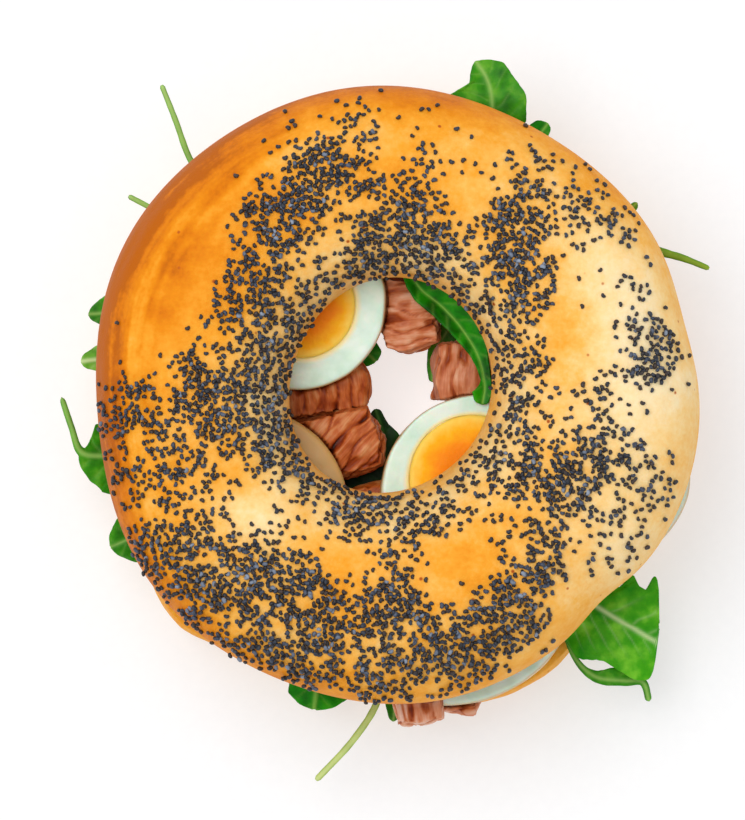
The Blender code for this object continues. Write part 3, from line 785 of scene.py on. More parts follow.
# Where the crown is browner than its bake gives, and where it is paler, with a strength below 0.
BAKE_PATCHES = (
    Patch(47, 2, 13, -0.42), Patch(45, -22, 14, -0.26), Patch(43, 19, 10, -0.34),
    Patch(38, 31, 9, -0.2), Patch(40, -33, 9, -0.14), Patch(-40, 22, 14, 0.28),
    Patch(-30, 41, 12, 0.22), Patch(2, 47, 12, 0.12), Patch(-49, 28, 9, 0.2), Patch(-52, 6, 10, 0.18),
    Patch(31, 12, 8, 0.1), Patch(-27, -22, 6, -0.2), Patch(12, -31, 8, 0.1), Patch(-10, -31, 8, 0.06),
    Patch(32, 37, 6, 0.06), Patch(-6, 50, 5, -0.12), Patch(-52, -8, 10, 0.1), Patch(4, -52, 11, -0.08),
    Patch(-24, -24, 5, -0.1), Patch(27, 46, 9, -0.12), Patch(26, -46, 9, -0.08),
    Patch(-26, -46, 9, -0.06),
)


@dataclass
class TopHalf(BagelHalf):
    """The top half: a smooth crown, lumpy where the dough rose, baked darkest along its left rim.

    Turns over the crown are in radians: 0 at the outer equator, pi / 2 on top, pi in the hole.
    """

    top: float = 57.5
    lump: float = 0.7
    lump_size: float = 19.0
    # Each height and size in millimetres of the skin's dimples.
    dimples: tuple[tuple[float, float], ...] = ((0.2, 6.5), (0.09, 2.4))
    streak: float = 0.25
    crease: float = 0.3
    # The angle that the streaks lie round, and the one that was hottest in the oven, in degrees.
    streaks_at: float = 158.0
    hottest_at: float = 155.0
    # The browning everywhere, then what the rim adds on the cool side, and more on the hot one.
    golden: float = 0.46
    cool_rim: float = 0.06
    hot_rim: float = 0.42
    flank: float = 0.1
    pale_hole: float = -0.2
    hole_edge: float = 0.12

    def profile(self) -> list[tuple[float, float]]:
        """The closed cross-section: over the crown, down into the hole, and back along the cut."""
        reach = self.top - self.equator
        return self.closed([(side, self.equator + height * reach)
                            for side, height in self.baked_side()])

    def lumped(self, point: Vector) -> Vector:
        """A point of the half, moved by the dough's broad lumps."""
        share = max(0.0, min(1.0, (point.z - self.cut) / (self.top - self.cut)))
        rise = self.lump * share * noise.noise(point / self.lump_size)
        return point + Vector((0.0, 0.0, rise))

    def stretch(self, angle: float, turn: float) -> float:
        """How strongly the streaks of stretched dough show: on the left, outside the seeds."""
        leftwards = math.cos(angle - math.radians(self.streaks_at))
        return smooth_step(0.45, 0.95, leftwards) * smooth_step(1.5, 0.9, turn)

    def relief(self, vert: bmesh.types.BMVert, angle: float, turn: float) -> float:
        """How far the skin stands out at a point of the crust.

        Args:
            vert: the point.
            angle: its angle round the ring, in radians.
            turn: its turn over the crown, in radians.

        Returns:
            The distance along the normal, in millimetres.
        """
        point = vert.co
        if turn <= 0.0 or turn >= math.pi:
            return 0.0
        ring = Vector((math.cos(angle), math.sin(angle), 0.0))
        along = noise.noise(ring * 1.8 + Vector((0, 0, turn * 5)))
        across = noise.noise(ring * 8 + Vector((5, 0, turn)))
        streaks = self.streak * self.stretch(angle, turn) * along
        creases = self.crease * smooth_step(2.0, 2.7, turn) * across
        fade = smooth_step(0.0, 0.25, turn) * smooth_step(math.pi, math.pi - 0.25, turn)
        return (bumps_at(point, self.dimples) + streaks + creases) * fade

    def bake(self, angle: float, turn: float) -> float:
        """How brown the crust is baked at a point, before its own patches.

        Args:
            angle: the point's angle round the ring, in radians.
            turn: its turn over the crown, in radians.

        Returns:
            The browning, from 0 for pale to 1 for the darkest rim.
        """
        heat = 0.5 + 0.5 * math.cos(angle - math.radians(self.hottest_at))
        rim = smooth_step(1.1, 0.25, turn) * (self.cool_rim + self.hot_rim * heat)
        flank = self.flank * smooth_step(0.3, 0.0, turn)
        hole = (self.pale_hole * smooth_step(1.75, 2.4, turn)
                + self.hole_edge * smooth_step(2.6, 3.0, turn))
        return self.golden + rim + flank + hole

    def build(self) -> bmesh.types.BMesh:
        """Builds the half's mesh with its browning.

        Returns:
            The mesh in millimetres, with crust as material 0 and crumb as material 1.
        """
        bm = spin_ring(self.profile(), self.steps)
        bake = bm.verts.layers.float.new("bake")
        streaked = bm.verts.layers.float.new("streaked")
        ring = bm.verts.layers.float_vector.new("round")
        turns = {}
        for vert in bm.verts:
            angle, side = ring_place(vert.co)
            height = vert.co.z
            turn = self.turn_at(side, height - self.equator, self.top - self.equator)
            vert.co = self.lumped(
                on_ring(angle, side, height, self.outer.radius(angle), self.inner.radius(angle))
            )
            turns[vert] = angle, turn
            vert[bake] = self.bake(angle, turn)
            vert[streaked] = self.stretch(angle, turn)
            vert[ring] = Vector((math.cos(angle), math.sin(angle), turn))
        xs, ys, _ = np.array([vert.co for vert in bm.verts]).T
        for vert, browned in zip(bm.verts, sum(patch.at(xs, ys) for patch in BAKE_PATCHES)):
            vert[bake] += browned
        add_fine_relief(bm, lambda vert: self.relief(vert, *turns[vert]))
        self.lay_crumb(bm, 1)
        return bm


@dataclass
class BottomHalf(BagelHalf):
    """The bottom half: a cut face over a rounded foot that flattened on its tray."""

    # The foot is flat on the tray up to the first share of half the ring's width, and free of it
    # from the second.
    flat: tuple[float, float] = (0.52, 0.78)
    crust_thick: float = 5.0
    # Each height and size in millimetres of the skin's dimples.
    dimples: tuple[tuple[float, float], ...] = ((0.25, 6.5), (0.1, 2.2))
    # The browning everywhere, and what the tray and the flank's upper part add.
    golden: float = 0.44
    tray_bake: float = 0.34
    flank_bake: float = 0.12
    flank_span: tuple[float, float] = (9.0, 17.0)

    def profile(self) -> list[tuple[float, float]]:
        """The closed cross-section: under the foot, then back along the cut."""
        return self.closed([(side, self.equator * (1 - depth) * smooth_step(*self.flat, abs(side)))
                            for side, depth in self.baked_side()])

    def build(self) -> bmesh.types.BMesh:
        """Builds the half's mesh with its browning.

        Returns:
            The mesh in millimetres, with crust as material 0 and crumb as material 1.
        """
        bm = spin_ring(self.profile(), self.steps)
        bake = bm.verts.layers.float.new("bake")
        ring = bm.verts.layers.float_vector.new("round")
        for vert in bm.verts:
            angle, side = ring_place(vert.co)
            turn = self.turn_at(side, self.equator - vert.co.z, self.equator)
            vert.co = on_ring(angle, side, vert.co.z, self.outer.radius(angle),
                              self.inner.radius(angle))
            tray = smooth_step(0.9, 1.5, turn) * smooth_step(2.3, 1.7, turn)
            flank = smooth_step(*self.flank_span, vert.co.z)
            vert[bake] = self.golden + self.tray_bake * tray + self.flank_bake * flank
            vert[ring] = Vector((math.cos(angle), math.sin(angle), turn))
        add_fine_relief(bm, self.relief)
        self.lay_crumb(bm, -1)
        return bm

    def relief(self, vert: bmesh.types.BMVert) -> float:
        """How far the skin stands out: dimples on the flank, none on the flat foot or the cut."""
        flank = smooth_step(1.0, 4.0, vert.co.z) * smooth_step(self.cut, self.cut - 2.0, vert.co.z)
        return flank * bumps_at(vert.co, self.dimples)


# Where the seeds lie thick on the crown, and where the crust is bare between them.
SEED_PATCHES = (
    Patch(-12.4, 44, 6), Patch(-17.9, 36, 5.5), Patch(-27.5, 32.5, 5.5), Patch(-21, 31, 4, 0.8),
    Patch(2.4, 32, 6.5), Patch(-4, 27, 5), Patch(8, 28, 4.5), Patch(21.8, 33, 6), Patch(22.8, 25, 5.5),
    Patch(27, 21, 4, 0.9), Patch(24, 18, 4, 0.9), Patch(46.5, 10, 4.5), Patch(46.8, 5, 3.5, 0.8),
    Patch(44.5, 20, 3, 0.45), Patch(-25, 22, 6), Patch(-31, 17.5, 5), Patch(-22.6, 7.6, 6),
    Patch(-36.6, 4.2, 5), Patch(-32, -2, 6.5), Patch(-26, -3, 5), Patch(-48, -0.5, 4.5, 0.9),
    Patch(-22, -11, 5), Patch(-30, -22, 4, 0.4), Patch(-41, -28, 6, 0.75), Patch(-31, -34, 6.5),
    Patch(-23, -33, 6), Patch(-14, -37, 5.5), Patch(-12.4, -43.5, 6), Patch(-26, -47, 6, 0.9),
    Patch(-38, -38, 6, 0.8), Patch(-1.5, -37.5, 4.5), Patch(2, -43, 5, 0.8), Patch(9, -46, 6.5),
    Patch(18.5, -40.5, 6), Patch(21.5, -35, 4.5), Patch(30, -17, 6), Patch(35, -11, 5, 0.8),
    Patch(41, -9, 4, 0.5), Patch(46, -14, 4, 0.45), Patch(-7, -20, 5), Patch(4, -24, 4.5, 0.6),
    Patch(-40, -14, 6, 0.5), Patch(-51, -15, 4, 0.5), Patch(24.6, 42, 4, 0.4), Patch(34, 36, 5, 0.4),
    Patch(40, 31, 4, 0.4), Patch(6, 43, 4, 0.5), Patch(-7, 49, 4, 0.5), Patch(-4, 40, 4, 0.4),
    Patch(26, 6, 4, 0.5), Patch(23, -13, 5, 0.6), Patch(38, 0, 5, 0.35), Patch(27, -28, 4, 0.45),
    Patch(41, -27, 5, 0.45), Patch(-2, -53, 6, 0.75), Patch(-17, -51, 6, 0.75), Patch(0, -30, 4, 0.3),
    Patch(14, -48, 5, 0.6), Patch(-47, -30, 5, 0.7), Patch(-43, -9, 6, 0.35), Patch(-24, 12, 6, 0.7),
    Patch(24, -43, 5, 0.7), Patch(-54, -4, 4, 0.6), Patch(28, -33, 5, 0.5), Patch(47, -20, 4, 0.4),
)
BARE_PATCHES = (
    Patch(-45, 24, 13, 1.2), Patch(-37, 36, 7, 1.2), Patch(-48, 12, 7, 1.0), Patch(0, 45, 4, 0.8),
    Patch(13.5, 36, 4.5, 0.8), Patch(34, 20, 7, 0.9), Patch(33, 9, 6, 0.8), Patch(53, -5, 7, 0.9),
    Patch(52, 20, 6, 0.8), Patch(50, -29, 7, 0.8), Patch(-26, -20, 4.5, 0.9), Patch(-9, -31, 4, 0.9),
    Patch(13.5, -29, 6, 0.9), Patch(34, -40, 6, 0.8), Patch(9, -35, 4, 0.6), Patch(-40, 28, 8, 1.0),
    Patch(-33, 9, 3.5, 0.5), Patch(-14, 53, 6, 0.8), Patch(15, 52, 8, 0.6), Patch(40, -42, 7, 0.8),
    Patch(28, -51, 6, 0.7), Patch(-36, 45, 8, 1.0),
)


@dataclass
class PoppySeeds:
    """The poppy seeds on the crown, strewn thick in patches and piled where they are thickest."""

    crown: BVHTree
    outer: Outline
    inner: Outline
    # Half a seed's length, width and thickness, then how its bean shape bends and dents.
    half: Vector
    bend: float = 0.16
    dent: float = 0.34
    dent_half: float = 0.45
    sides: int = 6
    rings: int = 4
    draws: int = 150000
    most: int = 5450
    contrast: float = 2.1
    # The share of draws kept on the open crust, in the band round the hole and in a patch.
    strewn: float = 0.13
    by_hole: float = 0.5
    in_patch: float = 0.92
    band_at: float = 22.0
    band_half: float = 7.0
    clump: float = 1.3
    clump_size: float = 2.6
    # The crown's reach, and how far the seeds stay inside its inner and its outer edge.
    reach: float = 57.5
    margins: tuple[float, float] = (0.5, 0.7)
    # The least distance between two seeds that lie on the crust.
    spacing: float = 0.76
    # The second layer: its spacing, how thick the seeds lie where it starts, and its height.
    pile_spacing: float = 1.0
    pile_from: float = 0.52
    pile_rise: float = 1.3
    sink: float = 0.1
    tilt: float = 0.16
    pile_tilt: float = 0.5
    sizes: tuple[float, float] = (0.86, 1.12)
    # A seed's tone comes from chance and from how thick the seeds lie there.
    tone_by_chance: float = 0.72
    tone_by_crowd: float = 0.28
    seed: int = 11

    def thickness(self, x: np.ndarray, y: np.ndarray) -> np.ndarray:
        """How thickly the seeds lie.

        Args:
            x: places across, in millimetres.
            y: places up the photograph, in millimetres.

        Returns:
            The share of draws that is kept at each place, from 0 to 1.
        """
        off_band = (np.hypot(x, y) - self.band_at) / self.band_half
        thick = np.maximum(self.strewn, self.by_hole * np.exp(-off_band ** 2))
        for patch in SEED_PATCHES:
            thick = 1 - (1 - thick) * (1 - self.in_patch * np.clip(patch.at(x, y), 0, 1))
        for patch in BARE_PATCHES:
            thick = thick * (1 - np.clip(patch.at(x, y), 0, 1))
        return np.clip(thick, 0, 1)

    def one_seed(self) -> bpy.types.Mesh:
        """Shapes one seed: a small bean, dented on one side.

        Returns:
            Its mesh, a millimetre long, lying on its side at the origin.
        """
        bm = bmesh.new()
        bmesh.ops.create_uvsphere(bm, u_segments=self.sides, v_segments=self.rings, radius=1.0)
        bmesh.ops.transform(bm, matrix=Matrix.Rotation(math.pi / 2, 4, "Y"), verts=bm.verts)
        for vert in bm.verts:
            middle = math.exp(-((vert.co.x / self.dent_half) ** 2))
            vert.co.y += self.bend * vert.co.x**2 - self.dent * middle * max(0.0, vert.co.y)
        bmesh.ops.scale(bm, vec=self.half, verts=bm.verts)
        bm.verts.layers.float.new("tone")
        mesh = bpy.data.meshes.new("seed")
        bm.to_mesh(mesh)
        bm.free()
        return mesh

    def lie(self, x: float, y: float, lift: float, draw: random.Random) -> Matrix | None:
        """Where a seed lies on the crust.

        Args:
            x: its place across.
            y: its place up the photograph.
            lift: how far it is lifted off the crust by the seeds below.
            draw: the draws for its turn and tilt.

        Returns:
            The seed's placement, or nothing where there is no crust below.
        """
        spot, normal, _, _ = self.crown.ray_cast(Vector((x, y, ABOVE_ALL)), Vector((0, 0, -1)))
        if spot is None:
            return None
        tilt = self.pile_tilt if lift else self.tilt
        lean = Vector((draw.gauss(0, tilt), draw.gauss(0, tilt), 0.0))
        upright = (normal + lean).normalized().to_track_quat("Z", "Y").to_matrix().to_4x4()
        size = draw.uniform(*self.sizes)
        spin = Matrix.Rotation(draw.uniform(0, math.tau), 4, "Z")
        place = Matrix.Translation(spot + normal * (self.half.z * size - self.sink + lift))
        return place @ upright @ spin @ Matrix.Scale(size, 4)

    def scatter(self) -> list[tuple[Matrix, float]]:
        """Draws every seed's placement and tone.

        Returns:
            The placements, thickest where the patches are, and a tone from 0 to 1 for each.
        """
        draws = np.random.default_rng(self.seed)
        draw = random.Random(self.seed)
        xs = draws.uniform(-self.reach, self.reach, self.draws)
        ys = draws.uniform(-self.reach, self.reach, self.draws)
        clumps = np.array([noise.noise(Vector((x / self.clump_size, y / self.clump_size, 0)))
                           for x, y in zip(xs, ys)])
        keep = self.thickness(xs, ys) * (1 + self.clump * clumps)
        chances = draws.uniform(0, 1, self.draws)
        layers = ({}, {})
        seeds = []
        for index in np.flatnonzero(chances < np.clip(keep, 0, 1) ** self.contrast):
            x, y, thick = xs[index], ys[index], keep[index]
            angle, far = math.atan2(y, x), math.hypot(x, y)
            on_crown = (self.inner.radius(angle) + self.margins[0] < far
                        < self.outer.radius(angle) - self.margins[1])
            if not on_crown or len(seeds) >= self.most:
                continue
            for level, (taken, gap) in enumerate(zip(layers, (self.spacing, self.pile_spacing))):
                if level and thick < self.pile_from:
                    break
                if self.has_room(taken, x, y, gap):
                    place = self.lie(x, y, level * self.half.z * self.pile_rise, draw)
                    if place is not None:
                        chance = self.tone_by_chance * draw.random()
                        seeds.append((place, chance + self.tone_by_crowd * min(1.0, thick)))
                    break
        return seeds

    def has_room(self, taken: dict, x: float, y: float, gap: float) -> bool:
        """Whether a place is clear of the seeds already laid, and notes it if so.

        Args:
            taken: the laid seeds by the square of the crown that they lie in.
            x: the place across.
            y: the place up the photograph.
            gap: the least distance between two seeds.

        Returns:
            True where the seed may be laid.
        """
        column, row = int(x // gap), int(y // gap)
        squares = [(column + i, row + j) for i in (-1, 0, 1) for j in (-1, 0, 1)]
        near = [spot for square in squares for spot in taken.get(square, ())]
        if any(math.hypot(x - other_x, y - other_y) < gap for other_x, other_y in near):
            return False
        taken.setdefault((column, row), []).append((x, y))
        return True

    def build(self) -> bmesh.types.BMesh:
        """Lays every seed.

        Returns:
            All seeds in one mesh, in millimetres, with each one's "tone".
        """
        bm = bmesh.new()
        shape = self.one_seed()
        count = len(shape.vertices)
        for place, tone in self.scatter():
            seed = shape.copy()
            seed.transform(place)
            seed.attributes["tone"].data.foreach_set("value", [tone] * count)
            bm.from_mesh(seed)
            bpy.data.meshes.remove(seed)
        bpy.data.meshes.remove(shape)
        return bm


class Layer(Enum):
    """The two layers that the egg slices lie in, as the height of a slice's middle."""

    UPPER = 31.7
    LOWER = 24.9


@dataclass(frozen=True)
class EggSlice:
    """One slice of boiled egg: a ring of white round a yolk that lies a little off its middle.

    Its length says how many times longer than wide it is, from a slanted cut, and how strongly its faces
    take the skin's tan: partly the tan of the skin and partly painted shade. Half is half its thickness.
    """

    label: str
    centre: tuple[float, float]
    layer: Layer
    radius: float
    yolk: float
    yolk_shift: tuple[float, float]
    tilt: tuple[float, float] = (0.0, 0.0)
    length: float = 1.0
    turn: float = 0.0
    # How strongly the faces take the skin's tan, partly the skin's own colour and partly painted shade on
    # a slice that lies in shade.
    tan_and_shade: float = 0.0
    half: float = 2.5
    round_edge: float = 0.9
    edge_steps: int = 5
    skin: float = 0.85
    gap: float = 0.008
    steps: int = 144
    ring_steps: int = 14
    spokes: int = 16
    # The heights and sizes in millimetres of the outline's wobble, the cut's waves and the crumbs.
    wobble: tuple[float, float] = (0.16, 4.0)
    uneven: tuple[float, float] = (0.06, 2.5)
    crumbs: tuple[tuple[float, float], ...] = ((0.16, 1.1), (0.1, 0.45))
    clearance: float = 0.35

    @cached_property
    def place(self) -> Matrix:
        """Where the slice lies: its middle, its tilt, its turn and its stretch."""
        x, y = self.centre
        lean = (Matrix.Rotation(math.radians(self.tilt[0]), 4, "X")
                @ Matrix.Rotation(math.radians(self.tilt[1]), 4, "Y"))
        turn = Matrix.Rotation(math.radians(self.turn), 4, "Z")
        stretch = Matrix.Diagonal((self.length, 1.0, 1.0, 1.0))
        return Matrix.Translation((x, y, self.layer.value)) @ lean @ turn @ stretch

    @cached_property
    def into_slice(self) -> Matrix:
        """Takes a point of the sandwich into the slice's own place."""
        return self.place.inverted()

    def is_near(self, centre: Vector, reach: float) -> bool:
        """Whether anything within a reach of a point may touch the slice."""
        off = Vector((*self.centre, self.layer.value)) - centre
        return off.length < self.radius * self.length + self.half + reach

    def yolk_edge(self, angle: float) -> float:
        """The distance from the slice's middle to its yolk's edge at an angle in radians."""
        off = math.hypot(*self.yolk_shift)
        turn = angle - math.atan2(self.yolk_shift[1], self.yolk_shift[0])
        return off * math.cos(turn) + math.sqrt(self.yolk**2 - (off * math.sin(turn)) ** 2)

    def build_white(self) -> bmesh.types.BMesh:
        """Builds the white: a ring with soft outer corners and a faintly uneven cut.

        Returns:
            The mesh in millimetres, with "skin" on the outer skin and, as painted shade, over a shaded
            slice's faces, and "yolk_tint" by the yolk.
        """
        corner = self.round_edge / (self.radius - self.yolk) * 2
        edge = 1 - corner
        level = [(-1 + (1 + edge) * step / self.ring_steps, self.half)
                 for step in range(self.ring_steps + 1)]
        turns = [math.pi / 2 * step / self.edge_steps for step in range(1, self.edge_steps + 1)]
        top = level + [(edge + corner * math.sin(turn),
                        self.half - self.round_edge * (1 - math.cos(turn))) for turn in turns]
        profile = top + [(side, -height) for side, height in reversed(top)]
        bm = spin_ring(profile, self.steps)
        skin = bm.verts.layers.float.new("skin")
        tint = bm.verts.layers.float.new("yolk_tint")
        for vert in bm.verts:
            angle, side = ring_place(vert.co)
            # The skin's tan on the outer edge, and over the faces the tan that stands for painted shade.
            vert[skin] = max(self.tan_and_shade, self.skin * smooth_step(1 - corner * 0.6, 1.0, side))
            vert[tint] = smooth_step(-0.5, -1.0, side)
            vert.co = on_ring(angle, side, vert.co.z, self.radius, self.yolk_edge(angle))
            height, size = self.wobble
            wobble = height * noise.noise(vert.co / size + Vector(self.centre).to_3d())
            vert.co.x *= 1 + wobble / self.radius
            vert.co.y *= 1 + wobble / self.radius
            height, size = self.uneven
            uneven = height * smooth_step(-1.0, -0.7, side) * noise.noise(vert.co / size)
            vert.co.z += math.copysign(uneven, vert.co.z)
        bmesh.ops.transform(bm, matrix=self.place, verts=bm.verts)
        return bm

    def build_yolk(self) -> bmesh.types.BMesh:
        """Builds the yolk: a disc with a crumbly face.

        Returns:
            The mesh in millimetres, with the way out from its middle in "reach".
        """
        radius = self.yolk - self.gap
        bm = bmesh.new()
        bmesh.ops.create_circle(bm, cap_ends=False, segments=self.steps // 2, radius=radius)
        rims = list(bm.edges)
        sides = bmesh.ops.extrude_edge_only(bm, edges=rims)["geom"]
        bmesh.ops.translate(bm, vec=(0, 0, 2 * self.half),
                            verts=[item for item in sides if isinstance(item, bmesh.types.BMVert)])
        for rim in (rims, [item for item in sides if isinstance(item, bmesh.types.BMEdge)
                           and all(vert.co.z > self.half for vert in item.verts)]):
            for left in range(self.spokes - 1, 0, -1):
                share = left / (left + 1)
                made = bmesh.ops.extrude_edge_only(bm, edges=rim)["geom"]
                verts = [item for item in made if isinstance(item, bmesh.types.BMVert)]
                bmesh.ops.scale(bm, vec=(share, share, 1.0), verts=verts)
                rim = [item for item in made if isinstance(item, bmesh.types.BMEdge)
                       and all(vert in verts for vert in item.verts)]
            bmesh.ops.contextual_create(bm, geom=rim)
        bmesh.ops.recalc_face_normals(bm, faces=bm.faces)
        reach = bm.verts.layers.float.new("reach")
        shift = Vector((*self.yolk_shift, -self.half))
        for vert in bm.verts:
            share = math.hypot(vert.co.x, vert.co.y) / radius
            vert[reach] = 0.85 * share**1.2
            vert.co += shift
            crumble = bumps_at(vert.co + Vector((*self.centre, 0)), self.crumbs)
            vert.co.z += math.copysign(crumble * smooth_step(1.0, 0.9, share), vert.co.z)
        bmesh.ops.transform(bm, matrix=self.place, verts=bm.verts)
        return bm

    def press(self, point: Vector) -> Vector:
        """Moves a point of the tuna out of the slice's space.

        Args:
            point: a point of the heap, in millimetres.

        Returns:
            The point, pushed below an upper slice, or to the nearer side of a lower one.
        """
        local = self.into_slice @ point
        room = self.half + self.clearance
        if math.hypot(local.x, local.y) > self.radius + self.clearance or local.z < -room:
            return point
        if self.layer is Layer.UPPER or local.z < 0:
            local.z = -room
        else:
            local.z = max(local.z, room)
        return self.place @ local


EGGS = (
    EggSlice("left", (-18.3, 17.5), Layer.UPPER, 16.3, 9.7, (0.9, -0.6), tilt=(2.5, -2.0)),
    EggSlice("right", (15.4, -18.3), Layer.UPPER, 18.5, 11.8, (-1.4, 2.9), tilt=(-1.5, 2.0)),
    EggSlice("front", (-27.2, -20.5), Layer.UPPER, 18.0, 11.1, (-0.8, -0.6), tilt=(1.0, 1.5),
             tan_and_shade=0.92),
    EggSlice("rim_front", (11.6, -40.2), Layer.LOWER, 16.9, 10.2, (0.5, 1.0), length=1.25, turn=16,
             tan_and_shade=0.06),
    EggSlice("rim_right", (39.4, -15.2), Layer.LOWER, 15.0, 8.6, (-0.5, 0.4), tilt=(0.0, -0.8)),
)


class Grain(Enum):
    """Which way a flake's fibres run in its own block, in degrees about the upright."""

    ACROSS = 0
    SLANT = 35
    LENGTHWAYS = 90


def flesh_layers(
    bm: bmesh.types.BMesh,
) -> tuple[bmesh.types.BMLayerItem, bmesh.types.BMLayerItem, bmesh.types.BMLayerItem]:
    """Adds the layers that the tuna's material reads: its depth, its tone and its grain."""
    values = bm.verts.layers.float
    return values.new("depth"), values.new("tone"), bm.verts.layers.float_vector.new("grain")


@dataclass(frozen=True)
class TunaChunk:
    """One flaked chunk of tuna: a block of fibres in layers, whose roundness draws it towards a ball."""

    centre: Place
    size: Place
    turn: float
    grain: Grain = Grain.ACROSS
    tone: float = 0.3
    cuts: int = 24
    roundness: float = 0.38
    ball: float = 1.12
    rough: float = 0.14
    fibre: float = 0.75
    flake: float = 2.9
    # How high the flesh stands at least, and what a flake's body, a fibre and sound flesh add.
    depth: float = 0.12
    body_depth: float = 0.34
    fibre_depth: float = 0.2
    sound_depth: float = 0.4
    # The relief's height in millimetres, and the depth that stays where the plain block has it.
    relief: float = 1.3
    level: float = 0.75

    def stretched(self, place: Vector, length: float, width: float, shift: Vector) -> float:
        """Noise in spots of a length along the fibres and a width across them, in millimetres."""
        return noise.noise(Vector((place.x / length, place.y / width, place.z / width)) + shift)

    def layered(self, place: Vector) -> float:
        """How far the flesh stands out at a place of the block.

        Args:
            place: a place from the block's middle, in millimetres, with X along its fibres.

        Returns:
            The relief, from about 0 in a crack to 1 on a ridge.
        """
        own = Vector(self.centre)
        warp = self.stretched(place, 6.0, 5.0, own)
        layer = ((0.8 * place.y + 0.6 * place.z) / self.flake + 0.7 * warp) % 1.0
        body = smooth_step(0.0, 0.16, layer) * smooth_step(1.0, 0.9, layer)
        fibre = self.stretched(place, 6.0, self.fibre, own)
        sound = smooth_step(-0.5, -0.2, self.stretched(place, 5.0, 1.9, -own))
        return (self.depth + self.body_depth * body + self.fibre_depth * fibre
                + self.sound_depth * sound)

    def build(self, floor: float, ceiling: float) -> bmesh.types.BMesh:
        """Builds the chunk.

        Args:
            floor: the lowest height that it may take.
            ceiling: the highest.

        Returns:
            The mesh in millimetres, with "depth", "tone" and "grain".
        """
        bm = bmesh.new()
        bmesh.ops.create_cube(bm, size=2.0)
        bmesh.ops.subdivide_edges(bm, edges=bm.edges, cuts=self.cuts, use_grid_fill=True)
        depth, tone, grain = flesh_layers(bm)
        centre = Vector(self.centre)
        half = Vector(self.size) / 2
        along = Matrix.Rotation(-math.radians(self.grain.value), 3, "Z")
        for vert in bm.verts:
            vert.co = vert.co.lerp(vert.co.normalized() * self.ball, self.roundness)
            vert.co += noise.noise_vector(vert.co + centre) * self.rough
            vert.co *= half
            vert[grain] = along @ vert.co
            vert[depth] = self.layered(vert[grain])
            vert[tone] = self.tone
        add_fine_relief(bm, lambda vert: self.relief * (vert[depth] - self.level))
        turn = Matrix.Rotation(math.radians(self.turn), 4, "Z")
        bmesh.ops.transform(bm, matrix=Matrix.Translation(centre) @ turn, verts=bm.verts)
        eggs = [egg for egg in EGGS if egg.is_near(centre, half.length * self.ball)]
        for vert in bm.verts:
            vert.co.z = max(floor, min(ceiling, vert.co.z))
            for egg in eggs:
                vert.co = egg.press(vert.co)
        return bm


HOLE_CHUNKS = (
    TunaChunk((2.2, 16.4, 27.0), (10.5, 15.5, 10.0), 6, Grain.ACROSS, 0.5, 44),
    TunaChunk((15.3, 4.0, 25.6), (17.0, 11.2, 9.6), -4, Grain.LENGTHWAYS, 0.45, 44),
    TunaChunk((-14.2, 1.2, 24.6), (17.5, 9.0, 8.2), 8, Grain.LENGTHWAYS, 0.1, 40),
    TunaChunk((-10.6, -8.8, 25.6), (15.0, 12.0, 10.2), 14, Grain.SLANT, 0.12, 44),
    TunaChunk((-16.5, -5.5, 22.0), (9.0, 8.0, 7.0), 15, Grain.ACROSS, 0.0, 18),
    TunaChunk((-13.5, 13.5, 23.8), (13.0, 9.0, 8.5), -45, Grain.ACROSS, 0.3, 22),
    TunaChunk((14.5, -13.5, 24.4), (12.0, 10.0, 8.0), -48, Grain.ACROSS, 0.3, 22),
    TunaChunk((-2.5, -20.5, 24.8), (11.0, 9.0, 7.6), 10, Grain.SLANT, 0.0, 24),
)
FRONT_CHUNKS = (
    TunaChunk((3.6, -55.0, 25.4), (8.5, 11.5, 6.5), 8, Grain.LENGTHWAYS, 1.0, 26),
    TunaChunk((11.0, -53.9, 21.0), (9.5, 9.5, 5.6), -12, Grain.SLANT, 0.9, 22),
)


